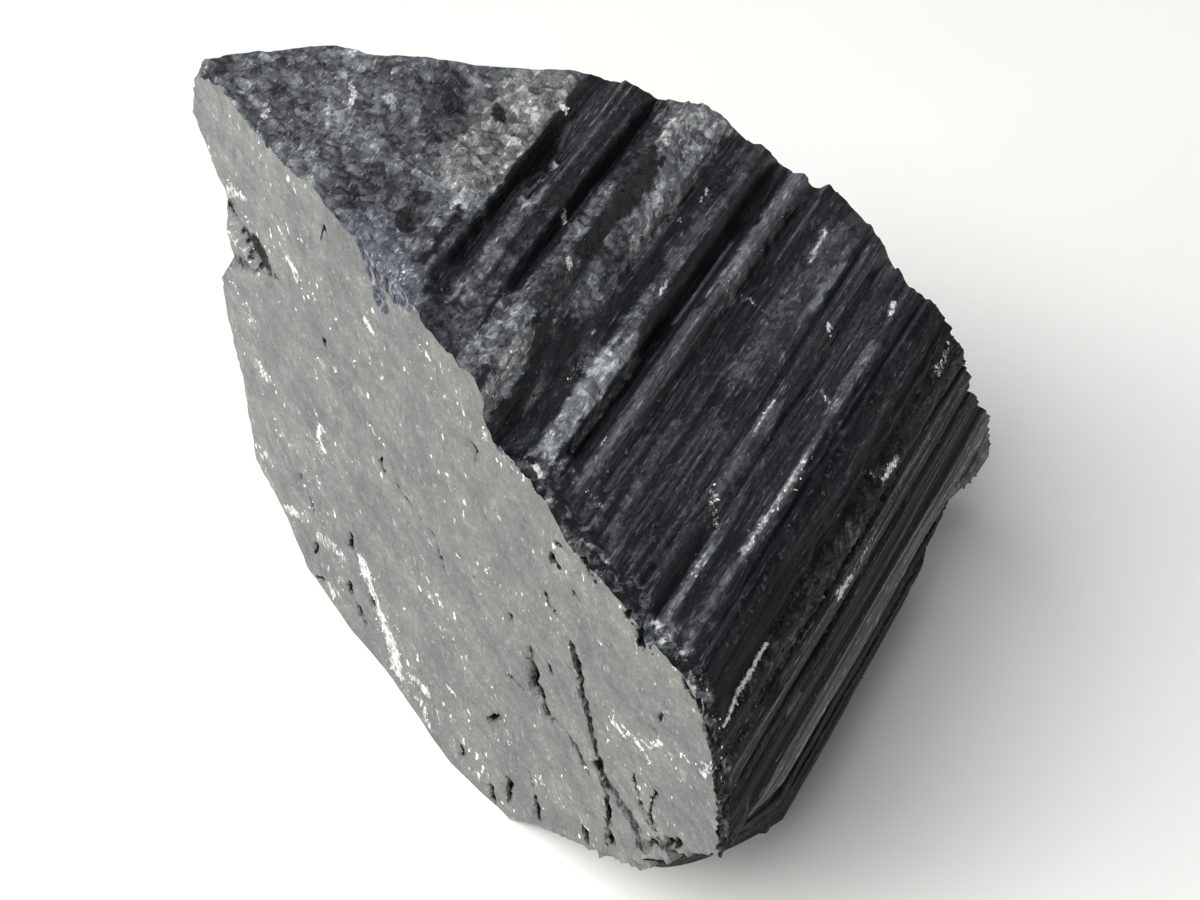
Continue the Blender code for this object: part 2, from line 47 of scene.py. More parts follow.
# What a user would change on the chunk. The outline and the relief repeat the solid's own.
chunk = {
    "shift": (0.22, -1.56, 0.0),  # from the crystal's own place to the middle of its footprint
    "sawPoint": (-15.0, -0.1),
    "sawHeading": -26.15,  # degrees in plan
    "chip": {"length": 9.0, "cornerHeight": 11.0, "hollow": 0.6, "spread": 0.22},
    # outline across the prism, clockwise from the upper left, as (x, z); where the broken
    # lower corner changes it, a second pair gives the unbroken body
    "upper": [
        [(-21.5, 36.9)], [(-20.4, 38.6)], [(-18.6, 39.0)], [(-15.2, 38.5)], [(-10.2, 39.0)],
        [(-6.2, 38.0)], [(-1.2, 37.5)], [(3.2, 37.2)], [(4.2, 35.6)], [(6.2, 34.2)],
        [(8.8, 33.4)], [(10.2, 32.4)], [(13.8, 31.9)], [(19.2, 31.6)],
    ],
    "right": [
        [(20.2, 29.8)], [(20.9, 27.5)], [(21.4, 24.6)], [(21.7, 20.1), (21.6, 17.2)],
        [(18.5, 16.5), (21.2, 14.4)], [(15.3, 11.0), (21.3, 11.0)],
        [(11.3, 6.7), (19.6, 6.0)], [(6.8, 2.7), (16.8, 1.2)],
    ],
    "base": [[(4.4, 0.0), (14.6, 0.0)], [(-11.1, 0.0), (-12.8, 0.0)]],
    "left": [
        [(-15.9, 1.3), (-16.8, 1.6)], [(-18.1, 5.0), (-19.2, 5.6)],
        [(-20.7, 6.9), (-20.4, 9.4)], [(-20.9, 13.8), (-21.2, 14.2)], [(-21.7, 19.0)],
        [(-21.6, 22.3)], [(-19.8, 25.4), (-20.4, 25.4)], [(-20.4, 28.4), (-20.8, 28.4)],
        [(-19.5, 30.6), (-20.6, 30.6)], [(-22.1, 34.8)],
    ],
    "cornerSoftness": 1.4,  # how far the outward directions of neighbouring strips are averaged
    "showingRight": 6,  # this many of the right side's corners belong to the showing face
    # the far fracture, whose upper edge has a few more points than the solid's
    "farEdge": [
        (-22.0, 3.4), (-20.0, 4.9), (-18.0, 5.8), (-16.6, 7.4), (-15.4, 8.3), (-14.0, 8.5),
        (-12.8, 8.3), (-9.0, 9.9), (-3.5, 13.4), (-0.8, 14.1), (0.6, 13.8), (3.4, 14.5),
        (4.5, 16.3), (7.6, 16.3), (9.4, 16.1), (10.8, 17.1), (14.3, 15.5), (17.8, 12.4),
        (19.4, 11.9), (22.0, 12.8),
    ],
    "rightEnd": [
        (0.0, 16.8), (9.6, 18.0), (11.4, 21.2), (13.0, 20.9), (17.0, 18.9), (23.0, 14.7),
        (27.5, 13.2), (31.6, 12.2),
    ],
    "rightEndRise": 0.5,
    "rightEndFade": 4.2,
    "rightFaceX": 21.4,
    "farLean": (0.72, 0.42, 8.0, 5.0),  # left lean, right lean, change x, fade
    "back": (18.6, 0.085, 0.22, 9.0),  # middle y, turn, undercut, foot
    "rimFade": 4.0,
    "slopeStep": 0.4,  # the fracture's slope is measured over this length
    "rimRough": 0.12,  # share of the fine roughness that the fracture keeps at its rim
    "farScoops": [(1.0, 17.0, 9.0, 1.5), (-13.0, 12.0, 6.5, 1.1), (13.5, 8.0, 6.0, 1.2)],
    # upper face, as middle x, width, depth or rise, near y, far y
    "grooveTaper": 2.0,
    "upperGrooves": [
        (-1.75, 1.1, 1.15, -3.2, 8.6), (-1.25, 2.0, 0.60, 4.6, 14.0),
        (1.70, 1.0, 1.05, -3.4, 13.2), (5.40, 0.8, 0.55, 1.5, 16.5),
        (8.40, 1.3, 1.45, -8.9, 16.2), (10.40, 0.9, 0.55, -9.5, 17.0),
        (14.60, 0.6, 0.35, -14.0, 16.0), (16.15, 1.3, 0.85, -17.0, 15.0),
        (19.20, 1.2, 0.30, -19.0, 13.0),
    ],
    "upperRidges": [
        (0.0, 1.9, 0.35, -2.0, 14.0), (3.9, 2.4, 0.45, 2.0, 14.6), (7.1, 1.2, 0.30, -6.0, 16.0),
        (9.5, 0.9, 0.45, -9.0, 16.6), (13.2, 1.6, 0.35, -3.0, 14.0), (18.0, 0.8, 0.40, -16.0, 7.0),
    ],
    "pocket": {"tip": (3.8, -1.2), "mouth": (5.2, -9.4), "half": 1.5, "tipShare": 0.3, "depth": 1.3},
    "etchedEdge": (-2.4, 1.5),  # x and width of the change
    "knob": (-19.8, 3.3, 1.5, 0.5),  # x, y, radius, rise
    "farCalm": (0.3, 1.5),  # roughness left at the far edge, and reach
    # right face, as middle z, width, depth, near y, far y
    "rightGrooves": [
        (28.6, 1.6, 0.35, -16.0, 13.0), (25.9, 0.7, 0.45, -14.0, 14.0),
        (22.9, 0.8, 0.50, -16.0, 16.0), (19.0, 2.6, 0.40, -15.0, 18.0),
        (17.2, 0.5, 0.45, -14.0, 18.5), (13.9, 0.8, 0.55, -10.0, 15.0),
        (12.3, 0.6, 0.40, -8.0, 12.0),
    ],
    "brokenBand": (28.3, 5.0),
    "nearCalm": (0.2, -10.5, 3.0),  # roughness left near the sawn face, y and fade
    "slabNotch": (14.6, 3.4, 3.6, 5, 2.6),  # y, reach, height, corner, its width
    # sawn face, as (x, z)
    "recess": {"outer": (-20.6, 29.4), "inner": (-14.6, 25.6), "half": 1.7, "tipShare": 0.3,
               "depth": 1.8},
    "footSwell": (0.6, -0.9, 6.0, 5.0),  # rise, middle x, reach, height
    # bumps as (height, distance between bumps, seed)
    "bumps": {
        "etchedLumps": (0.42, 2.3, 3.1), "etchedPits": (0.34, 1.2, 7.7),
        "upperStriae": (0.30, 0.9, 5.2), "upperWear": (0.16, 1.6, 9.4),
        "rightStriae": (0.22, 0.8, 2.6), "rightWear": (0.30, 1.5, 6.6),
        "hiddenStriae": (0.55, 2.2, 1.3), "hiddenWear": (0.20, 2.0, 8.8),
        "farLumps": (0.45, 4.0, 2.2), "farGrain": (0.35, 1.9, 6.1), "farRim": (0.18, 1.4, 3.9),
        "sawnWaves": (0.10, 4.0, 4.4), "sawnMarks": (0.07, 1.6, 5.5),
        # finer ones, which only this surface has
        "crumbs": (0.19, 0.70, 12.7), "grit": (0.13, 0.38, 15.1),
        "fineStriae": (0.16, 0.42, 18.3), "finestStriae": (0.08, 0.21, 21.9),
        "farHackles": (0.22, 0.80, 24.5), "farGrit": (0.14, 0.38, 27.3),
        "edgeBites": (0.26, 0.80, 31.1), "edgeCrumbs": (0.26, 0.36, 33.7),
        "recessHackles": (0.25, 0.85, 35.9),
    },
    "lift": (0.3, 1.5),  # the hidden faces' ridges start this far above the base, and rise over
    "sawnEdgeFade": 4.0,
    "striaeStretch": 0.06,
    "fineStretch": 0.2,  # the fine ridges are drawn out further still
    "rightFine": 0.7,  # how much of their height the right face has
    "crustHides": 0.7,  # share of them that the crust takes away
    "edgeReach": 1.6,  # the sides are bitten this far behind the sawn edge
    "edgeFoot": (1.0, 2.0),  # and from this z up, and fade
    # the crushed places of the sawn face also carry painted glints
    "crushRough": 0.5,  # how rough the crushed places of the sawn face are
    "bite": (0.25, 1.2),  # how deep the sawn edge is bitten, and how much its crumbs add
    # mesh: widths of the strips on showing, hidden and resting faces, and rows along Y
    "fineStrip": 0.17,
    "coarseStrip": 0.42,
    "baseStrip": 1.0,
    "rows": 118,
    "sawnPitch": 0.34,
    "farPitch": 0.36,
    "crackPitch": 0.20,
    "crackGap": 0.05,  # points along the cracks are no closer than this
    "sharpAngle": 58.0,  # edges sharper than this many degrees are not shaded smooth
}

upperCount = len(chunk["upper"])
outline = chunk["upper"] + chunk["right"] + chunk["base"] + chunk["left"]
outlineSawn = np.array([corner[0] for corner in outline])
outlineBody = np.array([corner[-1] for corner in outline])
showingCorners = upperCount + chunk["showingRight"]
sawSlope = math.tan(math.radians(chunk["sawHeading"]))
sawnSlot, ridgedSlot, brokenSlot, sideSlot = range(4)  # the chunk's materials in order


def clamp(value, low=0.0, high=1.0):
    return np.clip(value, low, high)


def smoothStep(value):
    value = clamp(value)
    return value * value * (3.0 - 2.0 * value)


def mix(first, second, share):
    return first + (second - first) * share


def rough(x, y, z, bump):
    # smooth random bumps, either the chunk's by name or of a height, distance apart and seed
    height, spacing, seed = chunk["bumps"].get(bump, bump)
    x, y, z = np.broadcast_arrays(x, y, z)
    places = np.stack((x / spacing + seed, y / spacing - seed, z / spacing + 0.37 * seed), axis=-1)
    values = np.array([noise.noise(place) for place in places.reshape(-1, 3).tolist()])
    return height * values.reshape(x.shape)


def roughSum(x, y, z, bumps):
    return sum(rough(x, y, z, bump) for bump in bumps)


def ridged(x, y, z, bump):
    # the same, folded so that it makes sharp crests
    height, spacing, seed = chunk["bumps"][bump]
    return height * (0.5 - 2.0 * np.abs(rough(x, y, z, (1.0, spacing, seed))))


def sawY(x):
    return chunk["sawPoint"][1] + sawSlope * (x - chunk["sawPoint"][0])


def groove(position, middle, width):
    return smoothStep(1.7 * (1.0 - np.abs(position - middle) / (0.5 * width)))


def along(y, start, end):
    taper = chunk["grooveTaper"]
    return smoothStep((y - start) / taper) * smoothStep((end - y) / taper + 1.0)


def hollow(gap, half):
    return smoothStep(1.5 * (1.0 - gap / half))


def segmentPlace(x, z, start, end):
    # share of the way along a segment, and the distance from it
    runX, runZ = end[0] - start[0], end[1] - start[1]
    share = clamp(((x - start[0]) * runX + (z - start[1]) * runZ) / (runX ** 2 + runZ ** 2))
    return share, np.hypot(x - start[0] - share * runX, z - start[1] - share * runZ)


def lineGap(x, z, points):
    return np.min([segmentPlace(x, z, a, b)[1] for a, b in zip(points, points[1:])], axis=0)


# How pale and how crumbly the mineral's skin is, painted in order over a plain start. Each
# stroke is its points, width, paleness and crumbliness. On the upper face a point is (x, y),
# on the right face (z, y), and on the sawn face (x, z).
marks = {
    # how the strokes' edges wander, less so on ridges, and how their ends run out in streaks
    # there, drawn out along Y, or crumble where the skin is etched
    "wander": [(0.20, 0.95, 41.3), (0.12, 0.40, 43.9)],
    "ridgeWander": 0.55,
    "rightWander": 0.3,  # share of it across the right face
    "fingers": [(2.2, 0.30, 45.1), (1.2, 0.14, 47.7)],
    "fingerStretch": 0.12,
    "crumbledEnds": 3.0,
    "sawnWander": [(0.18, 0.90, 61.7), (0.16, 0.36, 63.1)],
    "recessStretch": (0.71, 1.72),  # how the recess's depth draws its marks out
    "strokeSoft": 0.06,  # a stroke's softness, and as much again for each millimetre of width
    "lineSoft": 0.12,
    "etchedFade": 0.5,
    "etchedStart": (0.77, 1.0),
    "ridgedStart": (0.20, 0.15),
    "rightStart": (0.27, 0.10),
    "upperStrokes": [
        # the etched corner
        ((-4.3, 11.5), (-4, 2), 3.4, 0.92, 1), ((-8.2, 8.6), (-7.2, 5.2), 2, 0.52, 1),
        ((-14.3, 3.6), (-13.3, 1.6), 2, 0.58, 1), ((-17.2, 4.8), (-16.5, 4), 1.4, 0.55, 1),
        ((-11.5, 8.2), (-9.5, 8.8), 1.6, 0.62, 1), ((-7.5, 0.4), (-8.9, -1.8), 2.4, 0.56, 1),
        ((-20.2, 4.2), (-19.7, 3), 1.3, 0.3, 0.8), ((-5.4, 0.2), (-5, -2.2), 1.1, 0.32, 1),
        ((-5.2, 8.6), (-4.8, 7.6), 0.8, 0.15, 1), ((-6.4, -3.3), (-2.9, -5.4), 3, 0.8, 0.8),
        ((-3.15, 0.6), (-2.95, -3.6), 0.5, 0.1, 0.5),
        # beside and in the first groove; the narrow pale stroke at x -0.3 is a painted highlight on a ridge
        # crest
        ((-1.55, 15), (-1.5, 8.6), 2.1, 0.07, 0.3), ((-0.28, 14.2), (-0.33, 9.8), 0.4, 0.5, 0.2),
        ((0.5, 14.5), (0.45, 3.5), 1.5, 0.25, 0.35), ((-0.45, 4.4), (-0.25, -5), 1.2, 0.74, 1),
        ((0.8, 3.5), (0.85, -2.5), 0.7, 0.36, 0.7), ((-1.35, 8.2), (-1.15, 4.9), 1.9, 0, 0),
        ((-1.7, 5.5), (-1.55, -4.3), 1.05, 0, 0), ((-1.3, -4.4), (-0.2, -6.7), 1.5, 0.3, 1),
        ((-0.95, 7.4), (-0.75, 6.4), 0.4, 0.95, 1),
        # the second groove and the rough strip behind it
        ((2.7, 15), (2.8, 11), 1.3, 0.62, 1), ((2.7, 11), (2.8, 7), 1.2, 0.34, 0.9),
        ((2.8, 7), (2.9, -1.5), 1.3, 0.62, 1), ((1.75, 14.8), (1.7, 1), 1.05, 0, 0),
        ((1.65, 1), (1.45, -3), 0.95, 0.02, 0.1), ((4.25, 16.8), (4.1, 11), 1.8, 1.05, 1),
        ((4.55, 11), (4.75, 4.5), 1.1, 0.95, 1), ((3.45, 10.8), (3.6, 6), (3.65, 1), 0.8, 0.14, 0.9),
        ((4.6, 4.4), (4.6, -1), 1.4, 0.64, 1), ((3.2, 0.4), (3, -3), 1.4, 0.55, 1),
        ((2.4, -3), (2.5, -8.3), 2, 0.8, 1), ((0.8, -2.7), (0.8, -7.4), 1.3, 0.5, 1),
        ((1.5, -2.8), (1.58, -6.4), 0.26, 0, 0), ((3.55, -3.6), (3.85, -8.6), 0.55, 1.05, 0.8),
        # the pocket
        ((4.4, -2.5), (4.8, -5.5), 1.2, 0.02, 0.2), ((5, -5), (5.4, -9.4), 1.8, 0.02, 0.2),
        # the third groove and the strips to the deepest one
        ((5.5, 16.8), (5.5, 9.2), 0.85, 0.03, 0.1), ((5.65, 9.4), (5.75, 5), (6.05, 0.5), 0.5, 0.05, 0.1),
        ((6.6, 16.5), (6.7, 10.2), 1.3, 0.34, 0.6), ((6.75, 10), (6.7, 5.5), 1.1, 0.58, 0.5),
        ((6.9, 5.3), (6.9, -0.4), 1, 0.62, 0.9), ((7.55, 9.2), (7.6, 4.6), 0.5, 0.03, 0.1),
        ((5.9, -1.6), (6.4, -4.2), 0.9, 0.55, 1), ((7.1, -0.4), (7.2, -9), 1.25, 1.02, 0.85),
        ((8.52, 17), (8.45, 3), 0.95, 0, 0), ((8.45, 3.5), (8.3, -9.2), 1.15, 0, 0),
        ((7.95, 9.2), (8, 3.8), 0.2, 0.8, 0.3),
        # the pale ridge and the finely ridged middle
        ((9.5, 17), (9.5, 9.5), 0.95, 0.76, 0.6), ((9.5, 9.5), (9.55, 5), 0.9, 0.92, 0.8),
        ((9.5, 5), (9.6, -9.2), 0.95, 0.58, 0.3), ((10.38, 17.3), (10.42, -9.2), 0.6, 0.03, 0),
        ((10.85, 15.6), (10.85, 9.8), 0.2, 0.6, 0), ((13, 14), (13.1, 2.2), 2.1, 0.5, 0.8),
        ((14, 12.2), (13.95, 7.2), 0.4, 0.8, 0.8), ((14.38, 13.5), (14.52, 0), 0.25, 0.02, 0),
        ((15.15, 1), (15.3, -5), (15.9, -8.2), 0.9, 0.52, 0.9), ((16.2, -8), (16.25, -13), 0.5, 0.6, 0.8),
        ((16, 12), (16.25, 0), (16.6, -4), 1.1, 0.03, 0), ((16.9, -3), (17.1, -12.5), 0.8, 0.04, 0),
        ((11.3, -3), (11.6, -8), (12.2, -11), 0.6, 0.48, 0.9),
        ((14.35, -7.8), (14.35, -10.8), 0.3, 0.6, 0.8), ((13.2, -9.5), (13.4, -13), 1.2, 0.1, 0.1),
        # the glittering line, a painted highlight along the ridge at x 18, and the smooth black corner behind
        # it
        ((19.2, 12), (19.2, -15), 1.2, 0.06, 0.1), ((18, 6.8), (18, 1.8), 0.8, 0.6, 0.9),
        ((18, 2), (18.15, -1.4), 0.45, 0.45, 0.3), ((18.2, -1.2), (18.1, -9.2), 0.36, 1.08, 0.7),
        ((18.2, -5), (18.35, -6.6), 0.4, 0.8, 0.8),
        ((8.3, -9.8), (10.2, -9.4), (10.7, -9.8), 0.45, 0.62, 1), ((7, -9.3), (8.3, -9.8), 0.8, 0.66, 1),
        ((10.3, -9.8), (11, -11.4), (12.4, -12.2), 0.7, 0.5, 1),
        ((13.4, -11), (13.4, -12.6), 0.5, 0.42, 0.8), ((10.3, -4.8), (10.2, -8), 0.35, 0.42, 0.6),
        ((18.1, -9), (17.95, -15), 0.55, 0.62, 0.8),
    ],
    # straight fine pale lines, partly painted highlights and glints on ridge crests: points, width, paleness
    "upperLines": [
        ((12.2, 13.8), (12.4, 11.2), 0.22, 1.15), ((15, 1.4), (15, -1), 0.18, 0.95),
        ((10.85, 15.6), (10.85, 9.8), 0.16, 0.7), ((7.95, 9.2), (8, 3.8), 0.18, 0.85),
        ((9.15, -2), (9.2, -7.4), 0.14, 0.55), ((11.2, 6), (11.2, -1), 0.12, 0.45),
        ((11.9, 2), (12, -9), 0.12, 0.45), ((12.5, -1), (12.7, -12), 0.12, 0.5),
        ((13.4, 1), (13.6, -12.5), 0.12, 0.5), ((14.1, 2), (14.2, -8), 0.12, 0.45),
        ((15.6, 12), (15.6, 2), 0.14, 0.5), ((16.8, 10), (17, -6), 0.12, 0.35),
        ((0.2, 13.6), (0.15, 5), 0.14, 0.6), ((-0.3, 14.2), (-0.35, 9.8), 0.16, 0.7),
        ((6.2, 16), (6.3, 9), 0.12, 0.5), ((7, 16.2), (7.1, 9), 0.12, 0.55),
        ((9.2, 16.6), (9.25, 9), 0.12, 0.8), ((9.8, 16.4), (9.8, 6), 0.12, 0.75),
        ((16.8, 3.2), (18, 2.2), (18.8, 1.2), (19.9, 1.3), 0.1, 0.8), ((10.2, 7.2), (11.9, 6.4), 0.1, 0.7),
    ],
    "rightLines": [
        ((30.3, -16), (30.3, 12), 0.16, 0.34), ((26.9, -2), (26.9, 6), 0.14, 0.6),
        ((25.1, -3.8), (25.1, 13.5), 0.22, 0.66), ((24.6, -16), (24.6, 14), 0.16, 0.62),
        ((22.4, -14), (22.3, 8), 0.22, 0.52), ((21.5, -9.6), (21.5, -8), 0.3, 0.7),
        ((20.6, 10), (20.5, 16), 0.26, 0.45), ((17.8, -12), (17.9, 18), 0.22, 0.8),
        ((23.3, -12), (23.3, 13), 0.16, 0.5),
    ],
    "rightStrokes": [
        ((31.1, -17), (31.1, 12), 0.8, 0.16, 0.6), ((29.2, -17), (29.2, 13), 1.5, 0.13, 0),
        ((26.9, -17), (26.9, 3.5), 3, 0.26, 0.9), ((27.2, -11), (27, -1.5), 1.7, 0.44, 0.9),
        ((28.3, -3), (28.3, 12), 0.8, 0.24, 0.7), ((26.5, 8.5), (26.4, 14), 1.6, 0.03, 0.3),
        ((24.5, -17), (24.5, 16), 1.7, 0.42, 0.05), ((25, 6), (24.9, 15), 0.9, 0.46, 0),
        ((25.2, -13.3), (25.1, -11.6), 0.5, 0, 0.3), ((26.4, -11.9), (25.6, -11.5), 0.4, 0, 0.3),
        ((22.4, -3.5), (22.3, 5.5), 0.5, 0.34, 0), ((21.5, -9.6), (21.5, -8), 0.3, 0.34, 0),
        ((20, -16), (20, 20), 3.4, 0.07, 0), ((20.6, 9.5), (20.5, 16), 0.3, 0.27, 0),
        ((16.1, -14), (16, 20), 3.7, 0.8, 0), ((13.6, -12), (13.6, 19), 0.8, 0.06, 0.2),
        ((12.3, -9), (12.4, 14), 1, 0.29, 0.2), ((11.6, 16.5), (12.2, 22), 2.6, 0.85, 0.4),
        ((15.3, -12), (15.2, 18), 0.18, 0.65, 0),
    ],
    # even changes, as points, width and softness: a film of clay, and bluer and warmer crust
    "film": ([(16.1, -14.0), (16.0, 20.0)], 3.5, 0.4),
    "blue": ([(-6.4, -3.3), (-2.9, -5.4)], 3.4, 1.2),
    "warm": ([(-4.6, 12.0), (-4.3, 4.0)], 4.0, 2.5),
    "warmHue": 0.4,
    "filmSmooth": 0.5,  # how far the film evens the pattern out
    "brownBelow": (30.6, 1.2),  # z on the right face, and fade
    "calmRidges": (6.0, 3.0, 0.62),  # x, fade and the crumbliness left past it
    # the broken rim behind the sawn face; each face's own is where it starts and its paleness
    "rim": {"reach": 1.8, "fade": 0.7, "wander": 3.0, "startFade": 2.0, "cover": 0.9, "thin": 0.35,
            "patches": (1.0, 0.60, 67.3), "upper": (5.0, 0.68), "right": (17.0, 0.66)},
    # the hidden sides: plain paleness and hue, then bumps, their stretch, start, fade and paleness
    "hidden": {"tone": 0.12, "hue": 0.3, "patches": ((1.0, 7.0, 51.7), 0.5, 0.02, 0.18, 0.75),
               "film": ((1.0, 2.4, 57.1), 0.08, 0.10, 0.2, 0.45)},
    # loose crumbs lie this far from the sawn face, the far edge and the floor, and their shares
    "loose": {"fromSaw": 0.5, "fade": 0.8, "hidden": 0.35, "onRim": 0.9, "farFade": 1.2,
              "farStart": 0.4, "fromFloor": 0.4},
    # painted light that lifts the shade on the grooves' floors
    "grooveShadeLift": 0.22,
    # crushed white lines, partly painted glints: points, width, strength
    "crushGlintUpper": [
        ((18.2, -1.4), (18.15, -8.2), 0.26, 0.56), ((17.9, 2.6), (17.9, 2), 0.5, 0.4),
        ((17.55, 10.9), (17.85, 9.9), 0.35, 0.8), ((12.2, 13.8), (12.35, 11.4), 0.25, 0.65),
        ((9.45, 7.6), (9.6, 6.2), 0.5, 0.28), ((15, 1.4), (15, -1), 0.22, 0.7),
        ((14.7, -5.4), (15.9, -7.4), 0.45, 0.42), ((16.1, -9.2), (16.2, -10.6), 0.3, 0.5),
        ((15.2, 7.6), (15.4, 7.3), 0.35, 0.9), ((9.2, -6.2), (9.25, -7.2), 0.22, 0.8),
        ((7.3, -9.3), (8.3, -9.8), (10.2, -9.4), (10.7, -9.8), 0.35, 0.34),
        ((16.8, 3.2), (17.6, 2.5), 0.12, 0.3), ((10.2, 7.2), (11.9, 6.4), 0.12, 0.5),
        ((-12.9, 5.8), (-12.1, 5), (-11.8, 3.8), 0.45, 0.75), ((-15.9, 2.2), (-15.8, 1.6), 0.5, 0.6),
        ((-14.2, 8.4), (-14, 8), 0.6, 0.5), ((-2.6, 10.8), (-2.2, 10.4), 0.45, 0.8),
        ((3.3, 0.8), (3.35, 0.5), 0.3, 1), ((5.6, 8.9), (5.65, 8.7), 0.3, 0.9),
        ((5.9, 11.8), (6, 10.6), 0.3, 0.6), ((6.2, -2.2), (6, -4.4), 0.3, 0.35),
        ((7.1, 4.2), (7.2, 3.4), 0.3, 0.7), ((1.3, 3.9), (1.4, 3.6), 0.25, 0.8),
        ((-3.4, -4.6), (-4, -5.8), 1.2, 0.3), ((3.6, -4.5), (3.9, -8.4), 0.35, 0.35),
    ],
    "crushGlintRight": [
        ((23.5, -17.4), (31.5, -16.6), 0.9, 0.24), ((28.15, -16.3), (28.05, -10.6), 0.1, 1.1),
        ((27.4, 2.6), (27.1, 4.4), 0.5, 0.85), ((28.5, 1.6), (27.4, 2.8), 0.18, 0.6),
        ((24.9, -3.8), (24.8, -2.2), 0.55, 0.75), ((24.9, -1.8), (24.9, 0.5), 0.3, 0.45),
        ((28, 10.6), (28.2, 12), 0.6, 0.5),
    ],
    # cracks of the sawn face: points, width, depth, darkness
    "cracks": [
        ((10.4, 24.2), (10.8, 23), (11.2, 22), 0.5, 0.9, 1),
        ((11.2, 22), (11.3, 20.5), (12.1, 18), (12.7, 16.2), (12.9, 15.2), 0.36, 1.1, 1),
        ((12.9, 15.2), (13.2, 13.4), (13.4, 11.4), 0.22, 0.8, 1),
        ((13.5, 10.8), (13.5, 9.4), 0.4, 0.6, 0.9), ((7.05, 20.1), (7.1, 18.8), 0.22, 0.3, 0.9),
        ((7.1, 18.8), (7.25, 17.4), 0.55, 0.9, 1), ((7.15, 17.2), (7.35, 16.6), 1.05, 1, 1),
        ((7.5, 16.6), (8.4, 15.3), 0.5, 0.7, 1), ((8.4, 15.3), (9.4, 15.6), (10.3, 15.5), 0.25, 0.3, 0.6),
        ((10.3, 15.5), (10.9, 15.3), (11.8, 14.3), 0.4, 0.6, 1),
        ((12.9, 15.7), (14, 14.7), (15.2, 14.2), 0.45, 0.6, 0.9),
        ((-5.95, 22.2), (-5.9, 21), 0.24, 0.25, 0.8),
        ((-5.9, 21.2), (-4.6, 21.1), (-3.7, 20.7), (-2.5, 20.4), (-1.3, 20.2), 0.12, 0.1, 0.55),
        ((-1, 19.9), (-0.9, 18.9), (-0.5, 17.9), 0.16, 0.15, 0.6),
        ((2.1, 20.5), (2.7, 20.1), (3, 19.9), 0.14, 0.15, 0.7), ((4.6, 15), (6.3, 15.1), 0.14, 0.2, 0.9),
        ((5.2, 20.9), (5.8, 20.1), 0.14, 0.2, 0.7), ((8.5, 20.1), (8.6, 19.6), 0.22, 0.2, 0.7),
        ((8.4, 26.2), (8.6, 25.5), (9.2, 25.3), 0.24, 0.2, 0.9), ((2.8, 32), (3.2, 31.9), 0.35, 0.2, 0.7),
        ((3, 31.6), (2.9, 30.6), 0.12, 0.1, 0.5), ((9, 29.9), (8.9, 29.3), 0.42, 0.6, 1),
        ((9.1, 29.5), (9.6, 29.4), 0.14, 0.2, 0.9), ((9.2, 31.2), (9.8, 31.5), 0.2, 0.2, 0.8),
        ((10.6, 28.9), (11.1, 28.6), 0.26, 0.3, 0.9),
        ((15.4, 18.9), (15.6, 17.6), (16.1, 16.9), (17, 16.6), 0.18, 0.25, 0.9),
        ((17, 19.6), (16.7, 17.8), (16.6, 16.7), (17.4, 15.8), 0.18, 0.25, 0.9),
        ((17.2, 26.8), (17.1, 25.9), 0.16, 0.15, 0.8), ((16.8, 24.9), (16.9, 24.3), 0.2, 0.15, 0.4),
        ((4.5, 4.2), (4.4, 3), (4.5, 1.8), 0.4, 0.5, 0.8), ((6.6, 7.8), (7, 5.8), 0.12, 0.15, 0.6),
        ((7, 5.7), (7.2, 4.4), (7.2, 3.6), 0.34, 0.4, 0.95), ((11.3, 8.3), (11.4, 7.2), 0.38, 0.5, 0.9),
        ((3, 1.4), (3.1, 0.1), 0.42, 0.5, 1), ((0.1, 2.1), (0.3, 1.6), 0.5, 0.3, 0.7),
        ((2.85, 8), (3.8, 9.7), 0.42, 0.7, 1), ((-10, 11), (-10.5, 9.2), 0.32, 0.3, 0.8),
        ((-10.9, 5.2), (-11, 4.3), 0.34, 0.3, 1), ((-10.5, 4.2), (-9.6, 2.5), 0.36, 0.3, 0.75),
        ((-8.6, 6.4), (-8.5, 5.6), 0.5, 0.3, 0.7), ((-14.2, 5.3), (-14.8, 3.9), 0.3, 0.3, 0.8),
        ((-14.2, 2.2), (-15, 1.2), 0.3, 0.3, 0.8), ((-15.2, 11.2), (-15.2, 10.4), 0.3, 0.3, 0.7),
        ((-14.6, 9.6), (-14.4, 8.2), 0.25, 0.2, 0.5), ((-10.85, 27), (-10.75, 26.4), 0.24, 0.2, 0.7),
        ((-9.5, 36.6), (-9.8, 35.6), 0.2, 0.2, 0.7), ((-7.9, 23.3), (-7.7, 22.8), 0.22, 0.15, 0.6),
        ((16.6, 14.3), (17.6, 15.1), 0.45, 0.6, 1), ((18.1, 16.2), (18.9, 17.3), 0.4, 0.6, 1),
        ((12, 31.5), (11.3, 32.4), 0.34, 0.3, 0.9), ((15.5, 30.1), (15.6, 31), (15.9, 32), 0.4, 0.4, 1),
        ((14.6, 31.4), (14.8, 32), 0.36, 0.3, 1), ((18.6, 31.2), (19.2, 30.6), 0.5, 0.35, 1),
        ((19.5, 30.7), (19.9, 30.2), 0.4, 0.35, 1), ((20.2, 29.6), (20.6, 28.6), 0.34, 0.3, 0.9),
    ],
    "crackHalo": 0.90,
    "haloWidth": (1.3, 0.25),  # times the crack's own width, and more
    "crackThinnest": 0.2,
    "crackRagged": [(0.55, 1.1, 71.3), (0.45, 0.45, 73.9)],
    # dark marks on the sawn face, dirt and broken crust, and dark strokes along the recess: points, width,
    # strength
    "stains": [
        ((12.6, 15.9), (13.6, 15.2), (14.6, 14.9), (15.6, 14.4), 1.3, 1.05),
